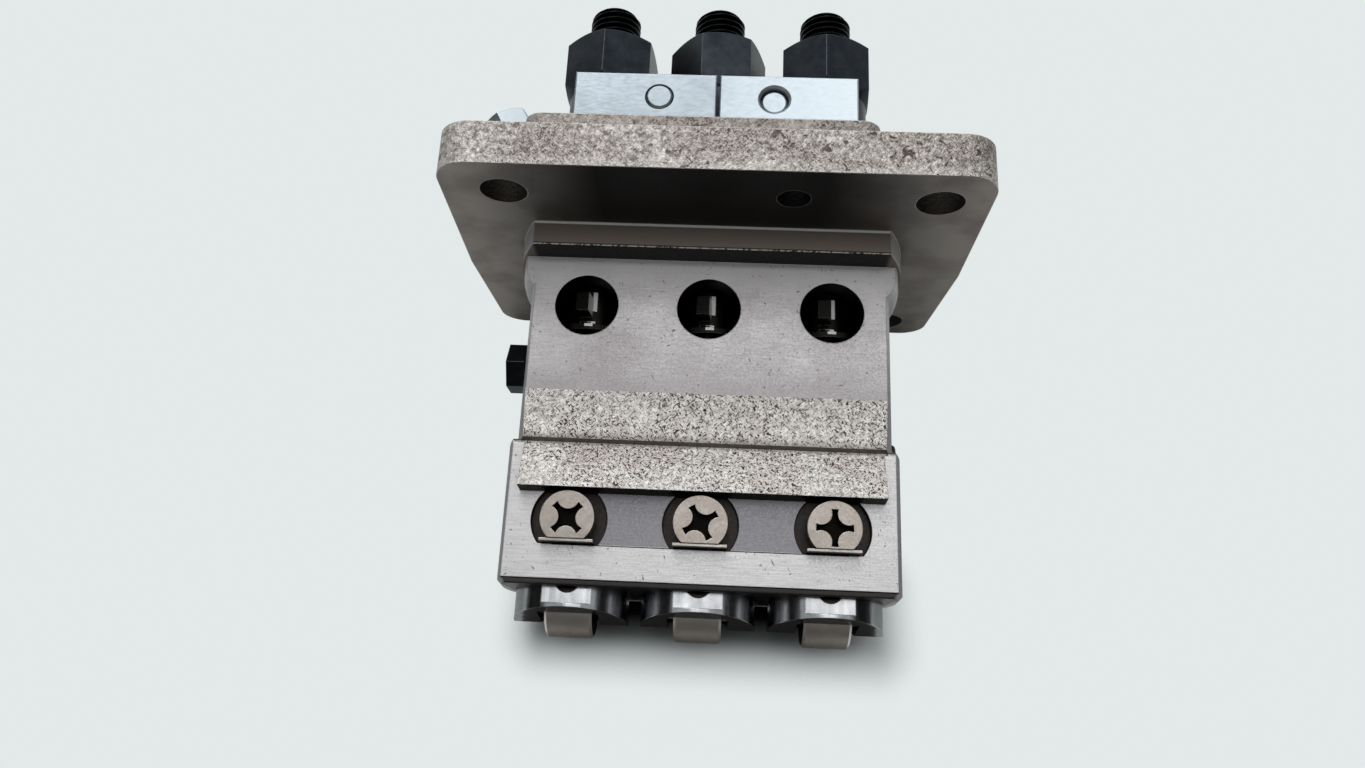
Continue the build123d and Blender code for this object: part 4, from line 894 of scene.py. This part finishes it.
key = softbox("key from the top end", (-250, -900, 1130), (0, 0, -20), 700, 8.5)
fill = softbox("front fill", (100, -1250, 330), (0, 0, -40), 800, 3.6)
print("key and fill at", [round(light.location.length, 2) for light in (key, fill)], "m")

# %% [markdown]
# Polished metal shows what stands round it. Dark boards below the front and at the sides stand for
# the unlit part of the room, without which every tappet would be a plain white bar. Grey sheets
# stand for the table in shade, which the rollers and the body's rounded ends mirror. The camera
# sees none of them, and they cast no shadow.

# %% Boards
def board(name, colour):
    """A matt painted board."""
    made, _, shader = start(name)
    shader.inputs["Base Color"].default_value = linear(colour)
    shader.inputs["Roughness"].default_value = 0.9
    return made


black, grey = board("matt black board", "1c1a19"), board("shaded pale table", "c4c8c7")
shadowed = board("table in the rollers' shadow", "6c6a69")
REFLECTED_ONLY = {"camera": False, "shadow": False}
WIDE, LOW, BEHIND = 700, -420, 60
sheet("board below", [(-WIDE, -900, LOW), (WIDE, -900, LOW), (WIDE, BEHIND, LOW), (-WIDE, BEHIND, LOW)],
      black, **REFLECTED_ONLY)
ROLLERS_HALF, NEAR, FAR = 38, (16.4, -73.5), (4.5, -112)  # back and up of its edges
roller_corners = [
    (-ROLLERS_HALF, *NEAR), (ROLLERS_HALF, *NEAR), (ROLLERS_HALF, *FAR), (-ROLLERS_HALF, *FAR),
]
sheet("table below the rollers", roller_corners, shadowed, diffuse=False, **REFLECTED_ONLY)
for side in (-1, 1):
    inner, outer, wall = side * 44, side * 120, side * 420
    shaded = [(inner, 40, 0), (outer, 40, 0), (outer, 14, -84), (inner, 14, -84)]
    sheet(f"shaded table {side}", shaded, grey, **REFLECTED_ONLY)
    upright = [(wall, -330, -300), (wall, 40, -300), (wall, 40, 300), (wall, -330, 300)]
    sheet(f"board {side}", upright, black, **REFLECTED_ONLY)
print("three black boards and three sheets of shaded table")

# %% [markdown]
# ## Camera
# The pump fills the middle of the view, seen from below its front: the view that looks straight
# down on it as it lies on its back, from 20 cm with a wide lens.

# %% Camera
CAMERA_PLACE = (1.979, -201.448, -90.822)  # millimetres
CAMERA_TURN = (107.266, -2.535, 1.258)  # degrees
LENS = 25.71  # millimetres, in front of a 36 mm wide sensor
data = bpy.data.cameras.new("view from below the front")
data.lens = LENS
data.sensor_width = 36.0
data.clip_start = 0.005
camera = bpy.data.objects.new("camera", data)
scene.collection.objects.link(camera)
camera.location = Vector(CAMERA_PLACE) * MM
camera.rotation_euler = [math.radians(turn) for turn in CAMERA_TURN]
scene.camera = camera
scene.view_settings.view_transform = "Standard"
print("the camera stands", round(camera.location.length, 2), "m away")
